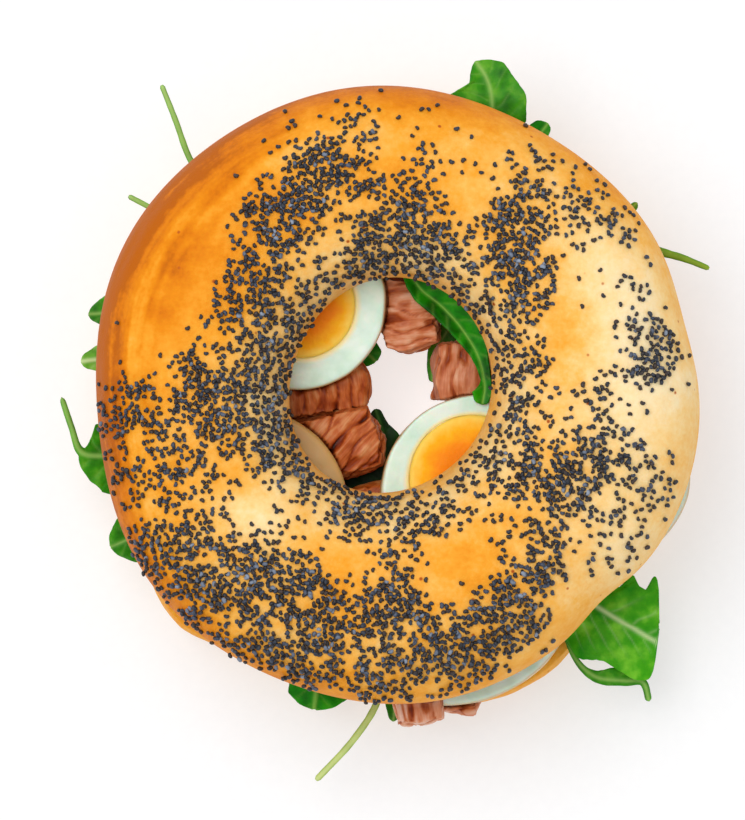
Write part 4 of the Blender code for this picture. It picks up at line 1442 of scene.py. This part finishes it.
@dataclass
class TunaHeap:
    """The tuna: a core ring darkened by painted shade, the big chunks in its hole and on its rim, and
    loose flakes.
    """

    low: float
    high: float
    outer: Outline
    inner: Outline
    bagel: Outline
    power: float = 5.0
    steps: int = 260
    corners: int = 44
    core_tone: float = 0.3
    # How far the core draws in before its flesh stands out, and the height and size of its lumps.
    core_sink: float = 0.8
    core_lumps: tuple[tuple[float, float], ...] = ((1.6, 4.5),)
    # Chunks and flakes stay this far from the cut faces.
    margin: float = 0.3
    # The rim's rows by their height, and how far their chunks lie inside the bagel's edge.
    rows: tuple[float, float] = (22.0, 30.6)
    row_chunks: int = 11
    draw_in: float = 8.8
    chunk_size: Place = (11.0, 13.0, 8.6)
    # How unevenly they lie: along the row as a share of a chunk, outwards, upwards and in degrees.
    chunk_step: float = 0.15
    chunk_shift: float = 1.2
    chunk_lift: float = 0.5
    chunk_turn: float = 25.0
    chunk_sizes: tuple[float, float] = (0.85, 1.1)
    chunk_tones: tuple[float, float] = (0.1, 0.8)
    # Loose flakes lie this far outside the core, but inside the bagel's edge by the tuck.
    flakes: int = 150
    flake_size: Place = (5.2, 2.2, 1.5)
    flake_out: tuple[float, float] = (0.6, 3.0)
    flake_tuck: float = 4.2
    flake_margin: float = 1.2
    flake_turn: float = 55.0
    flake_sizes: tuple[float, float] = (0.7, 1.35)
    flake_tones: tuple[float, float] = (0.1, 0.9)
    flake_cuts: int = 6
    flake_layer: float = 1.6
    seed: int = 3

    def build_core(self) -> bmesh.types.BMesh:
        """Builds the core, a lumpy ring that shows only in the cracks between chunks.

        Returns:
            The mesh in millimetres, with "depth", "tone" and "grain".
        """
        profile = []
        for corner in range(self.corners):
            turn = math.tau * (corner + 0.5) / self.corners
            side, height = rounded(turn, self.power)
            height = math.copysign(height, math.sin(turn))
            profile.append((side, (self.low + self.high) / 2 + height * (self.high - self.low) / 2))
        bm = spin_ring(profile, self.steps)
        depth, tone, grain = flesh_layers(bm)
        for vert in bm.verts:
            angle, side = ring_place(vert.co)
            vert.co = on_ring(angle, side, vert.co.z, self.outer.radius(angle),
                              self.inner.radius(angle))
            vert[grain] = vert.co
            # The core's low depth darkens it in the material: painted shade in the cracks between the
            # chunks.
            vert[depth] = 0.25 + 0.5 * noise.noise(vert.co / 2.0)
            vert[tone] = self.core_tone
        add_fine_relief(
            bm, lambda vert: bumps_at(vert.co, self.core_lumps) + vert[depth] - self.core_sink
        )
        for vert in bm.verts:
            vert.co.z = max(self.low, min(self.high, vert.co.z))
            for egg in EGGS:
                vert.co = egg.press(vert.co)
        return bm

    def rim_chunks(self) -> list[TunaChunk]:
        """The chunks in two staggered rows round the heap's outside.

        Returns:
            The chunks, uneven in place, size and turn.
        """
        draw = random.Random(self.seed)
        tones = random.Random(self.seed + 1)
        chunks = []
        for row, height in enumerate(self.rows):
            for count in range(self.row_chunks):
                place = count + row / 2 + draw.uniform(-self.chunk_step, self.chunk_step)
                angle = math.tau * place / self.row_chunks
                shift = draw.uniform(-self.chunk_shift, self.chunk_shift)
                reach = self.bagel.radius(angle) - self.draw_in + shift
                lift = height + draw.uniform(-self.chunk_lift, self.chunk_lift)
                centre = (reach * math.cos(angle), reach * math.sin(angle), lift)
                size = tuple(side * draw.uniform(*self.chunk_sizes) for side in self.chunk_size)
                turn = math.degrees(angle) + draw.uniform(-self.chunk_turn, self.chunk_turn)
                grain = tones.choice(list(Grain))
                chunks.append(TunaChunk(centre, size, turn, grain, tones.uniform(*self.chunk_tones)))
        return chunks

    def loose_flakes(self) -> list[TunaChunk]:
        """Small flakes that lie against the heap's outside.

        Returns:
            The flakes, turned mostly along the rim.
        """
        draw = random.Random(self.seed + 2)
        flakes = []
        for _ in range(self.flakes):
            angle = draw.uniform(-math.pi, math.pi)
            reach = self.outer.radius(angle) + draw.uniform(*self.flake_out)
            reach = min(reach, self.bagel.radius(angle) - self.flake_tuck)
            height = draw.uniform(self.low + self.flake_margin, self.high - self.flake_margin)
            centre = (reach * math.cos(angle), reach * math.sin(angle), height)
            size = tuple(side * draw.uniform(*self.flake_sizes) for side in self.flake_size)
            turn = math.degrees(angle) + 90 + draw.uniform(-self.flake_turn, self.flake_turn)
            tone = draw.uniform(*self.flake_tones)
            flakes.append(TunaChunk(centre, size, turn, Grain.ACROSS, tone, self.flake_cuts,
                                    flake=self.flake_layer))
        return flakes

    def join(self, chunks: list[TunaChunk]) -> bmesh.types.BMesh:
        """Builds chunks into one mesh.

        Args:
            chunks: the chunks, which may bed into each other.

        Returns:
            All of them in one mesh, in millimetres.
        """
        bm = bmesh.new()
        for chunk in chunks:
            part = chunk.build(self.low + self.margin, self.high - self.margin)
            mesh = bpy.data.meshes.new("chunk")
            part.to_mesh(mesh)
            part.free()
            bm.from_mesh(mesh)
            bpy.data.meshes.remove(mesh)
        return bm


# A spine's direction is taken over this share of its length, to both sides.
SPINE_STEP = 0.01


def along_spine(points: list[Vector], share: float) -> Vector:
    """A point on the smooth curve through a spine's points, carried straight on past its ends.

    Args:
        points: the points that the curve passes through.
        share: how far along it, from 0 to 1.

    Returns:
        The point there.
    """
    last = len(points) - 1
    place = share * last
    if place < 0:
        return points[0] + (points[1] - points[0]) * place
    if place > last:
        return points[last] + (points[last] - points[last - 1]) * (place - last)
    first = min(int(place), last - 1)
    t = place - first
    start, end = points[first], points[first + 1]
    before = points[first - 1] if first else 2 * start - end
    after = points[first + 2] if first + 2 <= last else 2 * end - start
    return 0.5 * (2 * start + (end - before) * t + (2 * before - 5 * start + 4 * end - after) * t**2
                  + (3 * start - before - 3 * end + after) * t**3)


def spine_length(points: list[Vector]) -> float:
    """A spine's length, straight from point to point."""
    return sum((b - a).length for a, b in zip(points, points[1:]))


def spine_place(points: list[Vector], share: float) -> tuple[Vector, Vector, Vector]:
    """A place on a spine with its directions.

    Args:
        points: the points that the spine passes through.
        share: how far along it, from 0 to 1.

    Returns:
        The place, the way ahead there, and the level way to its left with a length of 1.
    """
    ahead = along_spine(points, share + SPINE_STEP) - along_spine(points, share - SPINE_STEP)
    return along_spine(points, share), ahead, Vector((0, 0, 1)).cross(ahead).normalized()


@dataclass(frozen=True)
class RocketLeaf:
    """One rocket leaf, from inside the sandwich to its tip.

    Left and right are its half-widths at even steps along the spine, seen from the stalk's start.
    Stalk is the midrib's half-width, fold the rise of the blade beside it and wave the height of the
    blade's waves. Rib is how far left of the spine the midrib starts and ends.
    """

    node: str
    spine: tuple[Place, ...]
    left: tuple[float, ...]
    right: tuple[float, ...]
    stalk: float = 0.5
    fold: float = 0.0
    wave: float = 0.0
    green: Green = Green.FRESH
    rib: tuple[float, float] = (0.0, 0.0)
    step: float = 0.3
    blade: float = 0.42
    tip_round: float = 0.9
    stalk_height: float = 0.8
    stalk_fade: float = 1.2
    vein_every: float = 3.6
    vein_slant: float = 0.9
    vein_half: float = 0.34
    vein_bend: float = 0.5
    # How far the right side's veins start after the left side's, as a share of their spacing.
    stagger: float = 0.4
    # How strongly the midrib and the side veins are coloured, and where the side veins fade.
    rib_show: float = 0.8
    vein_show: float = 0.2
    vein_fade: tuple[float, float] = (6.5, 2.0)
    # The heights of the teeth, the swelling between the veins and the crinkles, in millimetres.
    teeth: float = 0.16
    puff: float = 0.14
    crinkle: float = 0.18

    @cached_property
    def points(self) -> list[Vector]:
        """The spine's points."""
        return [Vector(point) for point in self.spine]

    @cached_property
    def length(self) -> float:
        """The spine's length."""
        return spine_length(self.points)

    def half_width(self, share: float, leftwards: bool) -> float:
        """The leaf's half-width at a share of its length, rounded off at its tip's corners.

        Args:
            share: how far along the leaf, from 0 to 1.
            leftwards: whether the side is the left one.

        Returns:
            The half-width in millimetres.
        """
        widths = self.left if leftwards else self.right
        place = max(0.0, min(1.0, share)) * (len(widths) - 1)
        first = min(int(place), len(widths) - 2)
        width = widths[first] + (widths[first + 1] - widths[first]) * (place - first)
        past = max(0.0, 1 - (1 - share) * self.length / self.tip_round)
        return width * math.sqrt(1.04 - past**2)

    def surface(self, share: float, across: float) -> Vector:
        """A point of the leaf's middle surface.

        Args:
            share: how far along it, from 0 to 1.
            across: how far across it, from -1 to 1.

        Returns:
            The point in millimetres.
        """
        here, _, sideways = spine_place(self.points, share)
        width = self.half_width(share, across > 0)
        teeth = self.teeth * min(1.0, width / 3) * noise.noise(here / 0.9 + Vector((across, 0, 0)))
        rise = self.fold * abs(across) * width
        rise += self.wave * abs(across) * math.sin(7 * share + 2 * across) * min(1.0, width / 3)
        return here + sideways * across * (width + teeth * abs(across) ** 3) + Vector((0, 0, rise))

    def vein(self, along: float, off: float) -> tuple[float, float]:
        """The veins at a place of the blade.

        Args:
            along: the place's distance along the spine, in millimetres.
            off: its distance from the spine, in millimetres, below 0 on the right.

        Returns:
            How strongly the midrib and a side vein show there, from 0 to 1 each.
        """
        bend = self.vein_bend * noise.noise(Vector((along / 3, off / 3, 0)))
        place = (along - self.vein_slant * abs(off) + bend) / self.vein_every
        place += 0.0 if off > 0 else self.stagger
        side = abs(place % 1.0 - 0.5) * self.vein_every
        rib = math.exp(-((off / (0.75 * self.stalk)) ** 2))
        fine = math.exp(-((side / self.vein_half) ** 2)) * smooth_step(0.2, 1.0, abs(off))
        return rib, fine

    def build(self, material: bpy.types.Material) -> bpy.types.Object:
        """Builds the leaf with its veins and its thickness.

        Args:
            material: the material of its green.

        Returns:
            The object, a sheet made solid, thick along its midrib.
        """
        widest = max(self.left) + max(self.right)
        bm = bmesh.new()
        bmesh.ops.create_grid(bm, x_segments=max(8, round(self.length / self.step)),
                              y_segments=max(6, 2 * round(widest / self.step / 2)), size=1.0)
        vein = bm.verts.layers.float.new("vein")
        thickest = max(2 * self.stalk * self.stalk_height, self.blade)
        shares = []
        for vert in bm.verts:
            share, across = (vert.co.x + 1) / 2, vert.co.y
            width = self.half_width(share, across > 0)
            off = across * width
            rib_off = self.rib[0] + (self.rib[1] - self.rib[0]) * share
            rib, fine = self.vein(share * self.length, off - rib_off)
            thin = self.blade / thickest
            if width < 2 * self.stalk:
                shares.append(max(thin, math.sqrt(1.02 - across * across)))
            else:
                fade = math.exp(-((abs(off) / self.stalk / self.stalk_fade) ** 2))
                edge = 1 - 0.5 * smooth_step(0.86, 1.0, abs(across))
                shares.append((thin + (1 - thin) * fade) * edge)
            vert.co = self.surface(share, across)
            puff = self.puff * (1 - fine) * smooth_step(0.0, 1.5, abs(off)) * min(1.0, width / 4)
            vert.co.z += puff + self.crinkle * noise.noise(vert.co / 2.2) * min(1.0, width / 3)
            shown = self.vein_show * fine * smooth_step(*self.vein_fade, abs(off))
            vert[vein] = max(self.rib_show * rib, shown)
        piece = make_piece(self.node.replace("leaf", "rocket"), bm, [material])
        group = piece.vertex_groups.new(name="thickness")
        for index, share in enumerate(shares):
            group.add([index], share, "REPLACE")
        solid = piece.modifiers.new("solid", "SOLIDIFY")
        solid.thickness = thickest * MM
        solid.offset = 0.0
        solid.vertex_group = "thickness"
        return piece


@dataclass(frozen=True)
class RocketStalk:
    """One bare rocket stalk: a thin stem with a shallow groove on top, which tapers to its tip.

    Thick is its radius at both ends, groove the groove's depth and knots the radius's unevenness,
    both as a share of it, and flat is its height for its width.
    """

    node: str
    spine: tuple[Place, ...]
    thick: tuple[float, float]
    green: Green = Green.STALK
    sides: int = 14
    step: float = 0.5
    groove: float = 0.16
    knots: float = 0.08
    flat: float = 0.9
    # The ends narrow to this share of the thickness, over this many millimetres from full width.
    end_share: float = 0.55
    end_length: float = 0.8

    def build(self, material: bpy.types.Material) -> bpy.types.Object:
        """Builds the stalk as a closed tube along its spine.

        Args:
            material: the material of its green.

        Returns:
            The object.
        """
        points = [Vector(point) for point in self.spine]
        length = spine_length(points)
        bm = bmesh.new()
        bmesh.ops.create_cone(bm, cap_ends=True, segments=self.sides, radius1=1.0, radius2=1.0,
                              depth=2.0)
        upright = [edge for edge in bm.edges if abs(edge.verts[0].co.z - edge.verts[1].co.z) > 1]
        bmesh.ops.subdivide_edges(bm, edges=upright, cuts=round(length / self.step))
        vein = bm.verts.layers.float.new("vein")
        for vert in bm.verts:
            share = (vert.co.z + 1) / 2
            angle = math.atan2(vert.co.y, vert.co.x)
            here, ahead, sideways = spine_place(points, share)
            above = ahead.normalized().cross(sideways)
            radius = self.thick[0] + (self.thick[1] - self.thick[0]) * share
            end = min(1.0, self.end_share + min(share, 1 - share) * length / self.end_length)
            trough = 1 - self.groove * math.exp(-(((angle - math.pi / 2) / 0.5) ** 2))
            radius *= end * trough * (1 + self.knots * noise.noise(here / 1.5))
            # Paler along the stalk's top, more towards its tip: partly the stalk's paler tip, partly a
            # painted highlight on its upper side.
            vert[vein] = smooth_step(0.3, 1.0, math.sin(angle)) * (0.35 + 0.4 * share)
            vert.co = here + (sideways * math.cos(angle) + above * math.sin(angle) * self.flat) * radius
        return make_piece(self.node.replace("stalk", "rocket_stalk"), bm, [material])


LEAVES = (
    RocketLeaf("leaf_back",
               ((17, 43, 29.5), (17.6, 50, 30), (17.6, 55, 30.5), (16.6, 59, 30), (14.6, 62, 29.5)),
               (0.6, 4.6, 7.2, 7.8, 7.8, 7.8, 7.8, 7.6, 3.2, 2.4, 0.6),
               (0.6, 3.4, 5.4, 6.1, 6.2, 6.2, 5.3, 4.4, 4.0, 2.5, 0.5), 0.6, 0.12, 0.4, Green.FRESH),
    RocketLeaf("leaf_back_small", ((22, 43, 26.5), (25, 46.5, 26.8), (28, 50.6, 26.4)),
               (0.5, 2.0, 2.4, 2.6, 1.6), (0.5, 1.3, 1.6, 1.6, 1.0), 0.4, 0.15, 0.0, Green.DEEP),
    RocketLeaf("leaf_left_upper", ((-46, 14.6, 20.2), (-51, 15.5, 20.4), (-57.3, 15.2, 20.9)),
               (0.6, 2.2, 2.6, 2.5, 1.0), (0.6, 2.4, 3.2, 3.2, 0.9), 0.5, 0.15, 0.3, Green.FRESH),
    RocketLeaf("leaf_left_lower", ((-47, 7, 20.8), (-52, 7.2, 21.1), (-58.7, 6.4, 21.6)),
               (0.6, 1.8, 2.4, 2.4, 1.0), (0.6, 2.0, 2.6, 2.6, 1.0), 0.5, -0.12, 0.2, Green.PALE),
    RocketLeaf("leaf_left_stalk",
               ((-44, -12, 21), (-49, -11.6, 21), (-54, -11.2, 21.4), (-58.6, -10.4, 22.2),
                (-60.4, -5.8, 23.8), (-62.2, -0.3, 25.4)),
               (1.0, 5.0, 6.4, 6.9, 6.6, 4.8, 0.8, 0.6, 0.55, 0.55, 0.5),
               (1.0, 5.0, 6.2, 6.4, 6.4, 5.6, 0.9, 0.6, 0.55, 0.55, 0.5), 0.6, -0.16, 0.0, Green.FRESH),
    RocketLeaf("leaf_front_left", ((-42, -22.6, 18.7), (-47.5, -25.5, 19), (-53.2, -28, 18.8)),
               (0.8, 3.6, 4.8, 4.4, 1.4), (0.8, 3.6, 4.6, 4.2, 1.6), 0.5, 0.3, 0.3, Green.FRESH),
    RocketLeaf("leaf_front", ((-13.4, -46, 19.2), (-14.6, -52, 19.4), (-15.4, -58.2, 18.8)),
               (0.8, 3.6, 5.4, 6.0, 5.8, 2.6), (0.8, 3.4, 4.8, 5.2, 5.0, 2.2), 0.5, -0.2, 0.3,
               Green.DEEP),
    RocketLeaf("leaf_front_small", ((1.6, -48.5, 18.7), (0.2, -54, 18.9), (-0.7, -60.5, 18.7)),
               (0.5, 1.2, 1.6, 1.6, 0.6), (0.5, 1.4, 1.9, 1.9, 0.7), 0.4, 0.2, 0.0, Green.FRESH),
    RocketLeaf("leaf_right_front",
               ((30.5, -41.6, 19.3), (36, -42, 19.4), (42.5, -42.6, 19.2), (48.6, -42.9, 18.2)),
               (3, 5, 6, 6.6, 6.8, 6.8, 6.8, 6.8, 6.9, 8.2, 9.3, 7.2, 6.6, 9.2, 8.8),
               (2.4, 3.8, 5.4, 6.6, 6.9, 6.9, 6.8, 6.9, 7.6, 8.4, 9.2, 9.8, 9.9, 9.6, 7.5),
               0.6, 0.05, 0.35, Green.BRIGHT, rib=(6.6, -3.0)),
    RocketLeaf("leaf_right_small", ((38, 30, 24.2), (41.5, 33, 24.4), (44.6, 35.9, 24.2)),
               (0.5, 0.9, 0.5), (0.5, 1.6, 0.6), 0.4, 0.2, 0.0, Green.OLIVE),
    RocketLeaf("leaf_hole_upper",
               ((1.5, 23.9, 33.1), (4.6, 19.6, 33.2), (8.7, 16.2, 33.3), (12.3, 12, 33.5),
                (15, 7.3, 34), (16.2, 2, 34.4), (15.8, -1.6, 34.6)),
               (1.0, 2.0, 2.3, 2.7, 2.9, 3.0, 2.6, 1.6, 1.3, 1.4, 0.9),
               (1.0, 1.8, 2.2, 2.3, 2.3, 2.0, 1.5, 1.0, 0.5, 2.3, 1.3), 0.4, 0.35, 0.0, Green.DEEP),
    RocketLeaf("leaf_hole_left", ((-14, 17, 18.7), (-9.6, 12.4, 18.9), (-3.9, 6.4, 19.2)),
               (0.8, 2.0, 2.6, 2.8, 2.0), (0.8, 2.0, 2.4, 2.6, 2.0), 0.4, 0.0, 0.2, Green.DEEP),
    RocketLeaf("leaf_hole_right",
               ((14, 18.5, 18.6), (9, 11.5, 18.9), (6.9, 6.5, 19.2), (6.6, 2.6, 19.3)),
               (0.6, 2.4, 2.2, 1.5, 0.5), (0.6, 1.6, 1.8, 1.1, 0.6), 0.4, 0.15, 0.0, Green.FRESH),
    RocketLeaf("leaf_hole_front",
               ((-0.4, -23, 18.7), (-2, -15, 18.9), (-2.4, -8, 19.1), (-4, -2.4, 19.3)),
               (0.8, 8.6, 8.0, 4.6, 2.4, 0.8), (0.8, 3.5, 5.0, 4.0, 1.4, 0.8), 0.4, -0.05, 0.2,
               Green.SHADED),
    RocketLeaf("stalk_right_front",
               ((31, -43.6, 17.95), (33.3, -48.9, 17.9), (37, -52.2, 17.4), (42, -52.9, 16.9),
                (45.7, -53.2, 16.5), (46.9, -56.7, 15.6)),
               (0.5, 0.5, 0.5, 0.55, 1.2, 2.2, 2.5, 2.0, 0.7, 0.65, 0.6),
               (0.5, 0.5, 0.55, 0.8, 1.0, 1.1, 1.0, 0.9, 0.7, 0.65, 0.6), 0.5, 0.0, 0.0, Green.FRESH),
)
STALKS = (
    RocketStalk("stalk_back_long",
                ((-34, 37, 27.5), (-38.4, 44, 27.8), (-41, 51, 29), (-43.6, 57.6, 30.4)), (0.66, 0.5)),
    RocketStalk("stalk_back_short", ((-40, 31.5, 23.6), (-45.5, 34.8, 23.8), (-49.8, 37.1, 24.4)),
                (0.56, 0.5)),
    RocketStalk("stalk_front",
                ((-2.6, -48.5, 20.7), (-3.6, -56.6, 21), (-8.2, -64, 19.6), (-15, -71.4, 16.6)),
                (0.72, 0.6), Green.PALE_STALK),
    RocketStalk("stalk_right",
                ((41, 30.6, 20.6), (48, 27.2, 20.9), (53.2, 25.6, 20.8), (58, 23.7, 20.2)),
                (1.05, 0.5), Green.OLIVE),
)


@dataclass
class Studio:
    """The plain studio: a white floor, one broad soft light and pale surroundings."""

    floor_size: float = 6.0
    # The height that the camera aims at and how far above that it hangs, in millimetres.
    target_height: float = 30.0
    distance: float = 4000.0
    picture_width: int = 745
    picture_height: int = 820
    # Where the bagel's axis stands in the photograph, and how wide one of its pixels is in mm.
    axis_pixel: tuple[int, int] = (397, 396)
    pixel: float = 0.185
    # The height at which a pixel has that width, close to where the bagel is widest.
    scale_height: float = 37.5
    sensor: float = 36.0
    # The key light's place from the frame's origin and its size, in metres, and its power in watts.
    key_place: Place = (-0.2, 0.16, 0.82)
    key_size: float = 0.5
    key_power: float = 3.4
    ambient: float = 0.75

    def build_floor(self) -> None:
        """Lays the white floor under the sandwich."""
        bm = bmesh.new()
        bmesh.ops.create_grid(bm, x_segments=8, y_segments=8, size=self.floor_size / 2)
        mesh = bpy.data.meshes.new("floor")
        bm.to_mesh(mesh)
        bm.free()
        floor = bpy.data.objects.new("floor", mesh)
        mesh.materials.append(FloorFinish().material())
        bpy.context.scene.collection.objects.link(floor)

    def build_lights(self) -> None:
        """Hangs the key light to the upper left, and lights the rest evenly."""
        lamp = bpy.data.lights.new("key", "AREA")
        lamp.shape = "DISK"
        lamp.size = self.key_size
        lamp.energy = self.key_power
        key = bpy.data.objects.new("key", lamp)
        key.location = self.key_place
        key.rotation_euler = (-Vector(self.key_place)).to_track_quat("-Z", "Y").to_euler()
        bpy.context.scene.collection.objects.link(key)
        world = bpy.data.worlds.new("pale studio")
        world.use_nodes = True
        sky = world.node_tree.nodes["Background"]
        sky.inputs["Color"].default_value = linear("#FDFEFF")
        sky.inputs["Strength"].default_value = self.ambient
        bpy.context.scene.world = world

    def build_camera(self) -> None:
        """Hangs the camera straight above the middle of the photograph's frame."""
        lens = bpy.data.cameras.new("camera")
        seen = self.picture_width * self.pixel
        height = self.target_height + self.distance
        lens.sensor_fit = "HORIZONTAL"
        lens.sensor_width = self.sensor
        lens.lens = self.sensor * (height - self.scale_height) / seen
        camera = bpy.data.objects.new("camera", lens)
        column, row = self.axis_pixel
        x = (self.picture_width / 2 - column) * self.pixel * MM
        y = (row - self.picture_height / 2) * self.pixel * MM
        camera.location = AXIS + Vector((x, y, height * MM))
        bpy.context.scene.collection.objects.link(camera)
        bpy.context.scene.camera = camera

    def build(self) -> None:
        """Sets the studio up, with colours shown as they are."""
        self.build_floor()
        self.build_lights()
        self.build_camera()
        bpy.context.scene.view_settings.view_transform = "Standard"


def build_bagel() -> None:
    """Builds both halves of the bagel and strews the seeds on the top one."""
    crumb = CrumbFinish().material()
    top = TopHalf(
        "bun_top", BAGEL_OUTLINE,
        Outline(19.2, (Wave(1, 2.35, 127), Wave(2, 0.85, 66), Wave(3, 0.3, -22))),
        cut=35.6, equator=39.6, power=2.25,
    )
    crown = top.build()
    seeds = PoppySeeds(BVHTree.FromBMesh(crown), top.outer, top.inner, Vector((0.56, 0.46, 0.4)))
    piece = make_piece("bagel_top", crown, [CrustFinish("bagel crust").material(), crumb])
    hand_over(piece, "crust", top.node)
    strewn = make_piece("poppy_seeds", seeds.build(), [SeedFinish().material()])
    hand_over(strewn, "crust", top.node)
    bottom = BottomHalf(
        "bun_bottom",
        Outline(BAGEL_OUTLINE.mean - 0.9,
                BAGEL_OUTLINE.parts + (Bulge(226, 2.6, 9), Bulge(-66, 4.4, 20))),
        Outline(19.2, (Wave(1, 1.9, 127), Wave(2, 0.5, 66))),
        cut=17.0, equator=12.0, power=2.7, turns=70,
    )
    base_crust = CrustFinish("bagel base crust").material()
    base = make_piece("bagel_bottom", bottom.build(), [base_crust, crumb])
    hand_over(base, "crust", bottom.node)


def build_filling() -> None:
    """Builds the egg slices, the tuna and the rocket."""
    white = EggWhiteFinish().material()
    yolk = EggYolkFinish().material()
    for egg in EGGS:
        node = f"egg_white_{egg.label}"
        hand_over(make_piece(f"white_{egg.label}", egg.build_white(), [white]), "egg_white", node)
        node = f"egg_yolk_{egg.label}"
        hand_over(make_piece(f"yolk_{egg.label}", egg.build_yolk(), [yolk]), "egg_yolk", node)
    flesh = TunaFinish().material()
    heap = TunaHeap(
        17.35, 35.25,
        Outline(49.5, (Wave(3, 1.0, 20), Wave(7, 0.8, 5), Bulge(-84, 7.5, 7))),
        Outline(21.5, (Wave(3, 1.0, 20), Wave(7, 0.8, 5))),
        BAGEL_OUTLINE,
    )
    parts = {
        "tuna_core": heap.build_core(),
        "tuna_hole_chunks": heap.join(list(HOLE_CHUNKS)),
        "tuna_rim_chunks": heap.join(list(FRONT_CHUNKS) + heap.rim_chunks()),
        "tuna_flakes": heap.join(heap.loose_flakes()),
    }
    for name, mesh in parts.items():
        hand_over(make_piece(name, mesh, [flesh]), "tuna", "tuna")
    greens = {green: LeafFinish(green).material() for green in Green}
    for leaf in LEAVES:
        slot = "rocket" if "leaf" in leaf.node else "stalk"
        hand_over(leaf.build(greens[leaf.green]), slot, leaf.node)
    for stalk in STALKS:
        hand_over(stalk.build(greens[stalk.green]), "stalk", stalk.node)


def main() -> None:
    """Builds the sandwich round its frame, and the studio."""
    logging.basicConfig(level=logging.INFO, format="%(name)s: %(message)s")
    noise.seed_set(NOISE_START)
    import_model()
    Studio().build()
    build_bagel()
    build_filling()


if __name__ == "__main__":
    main()
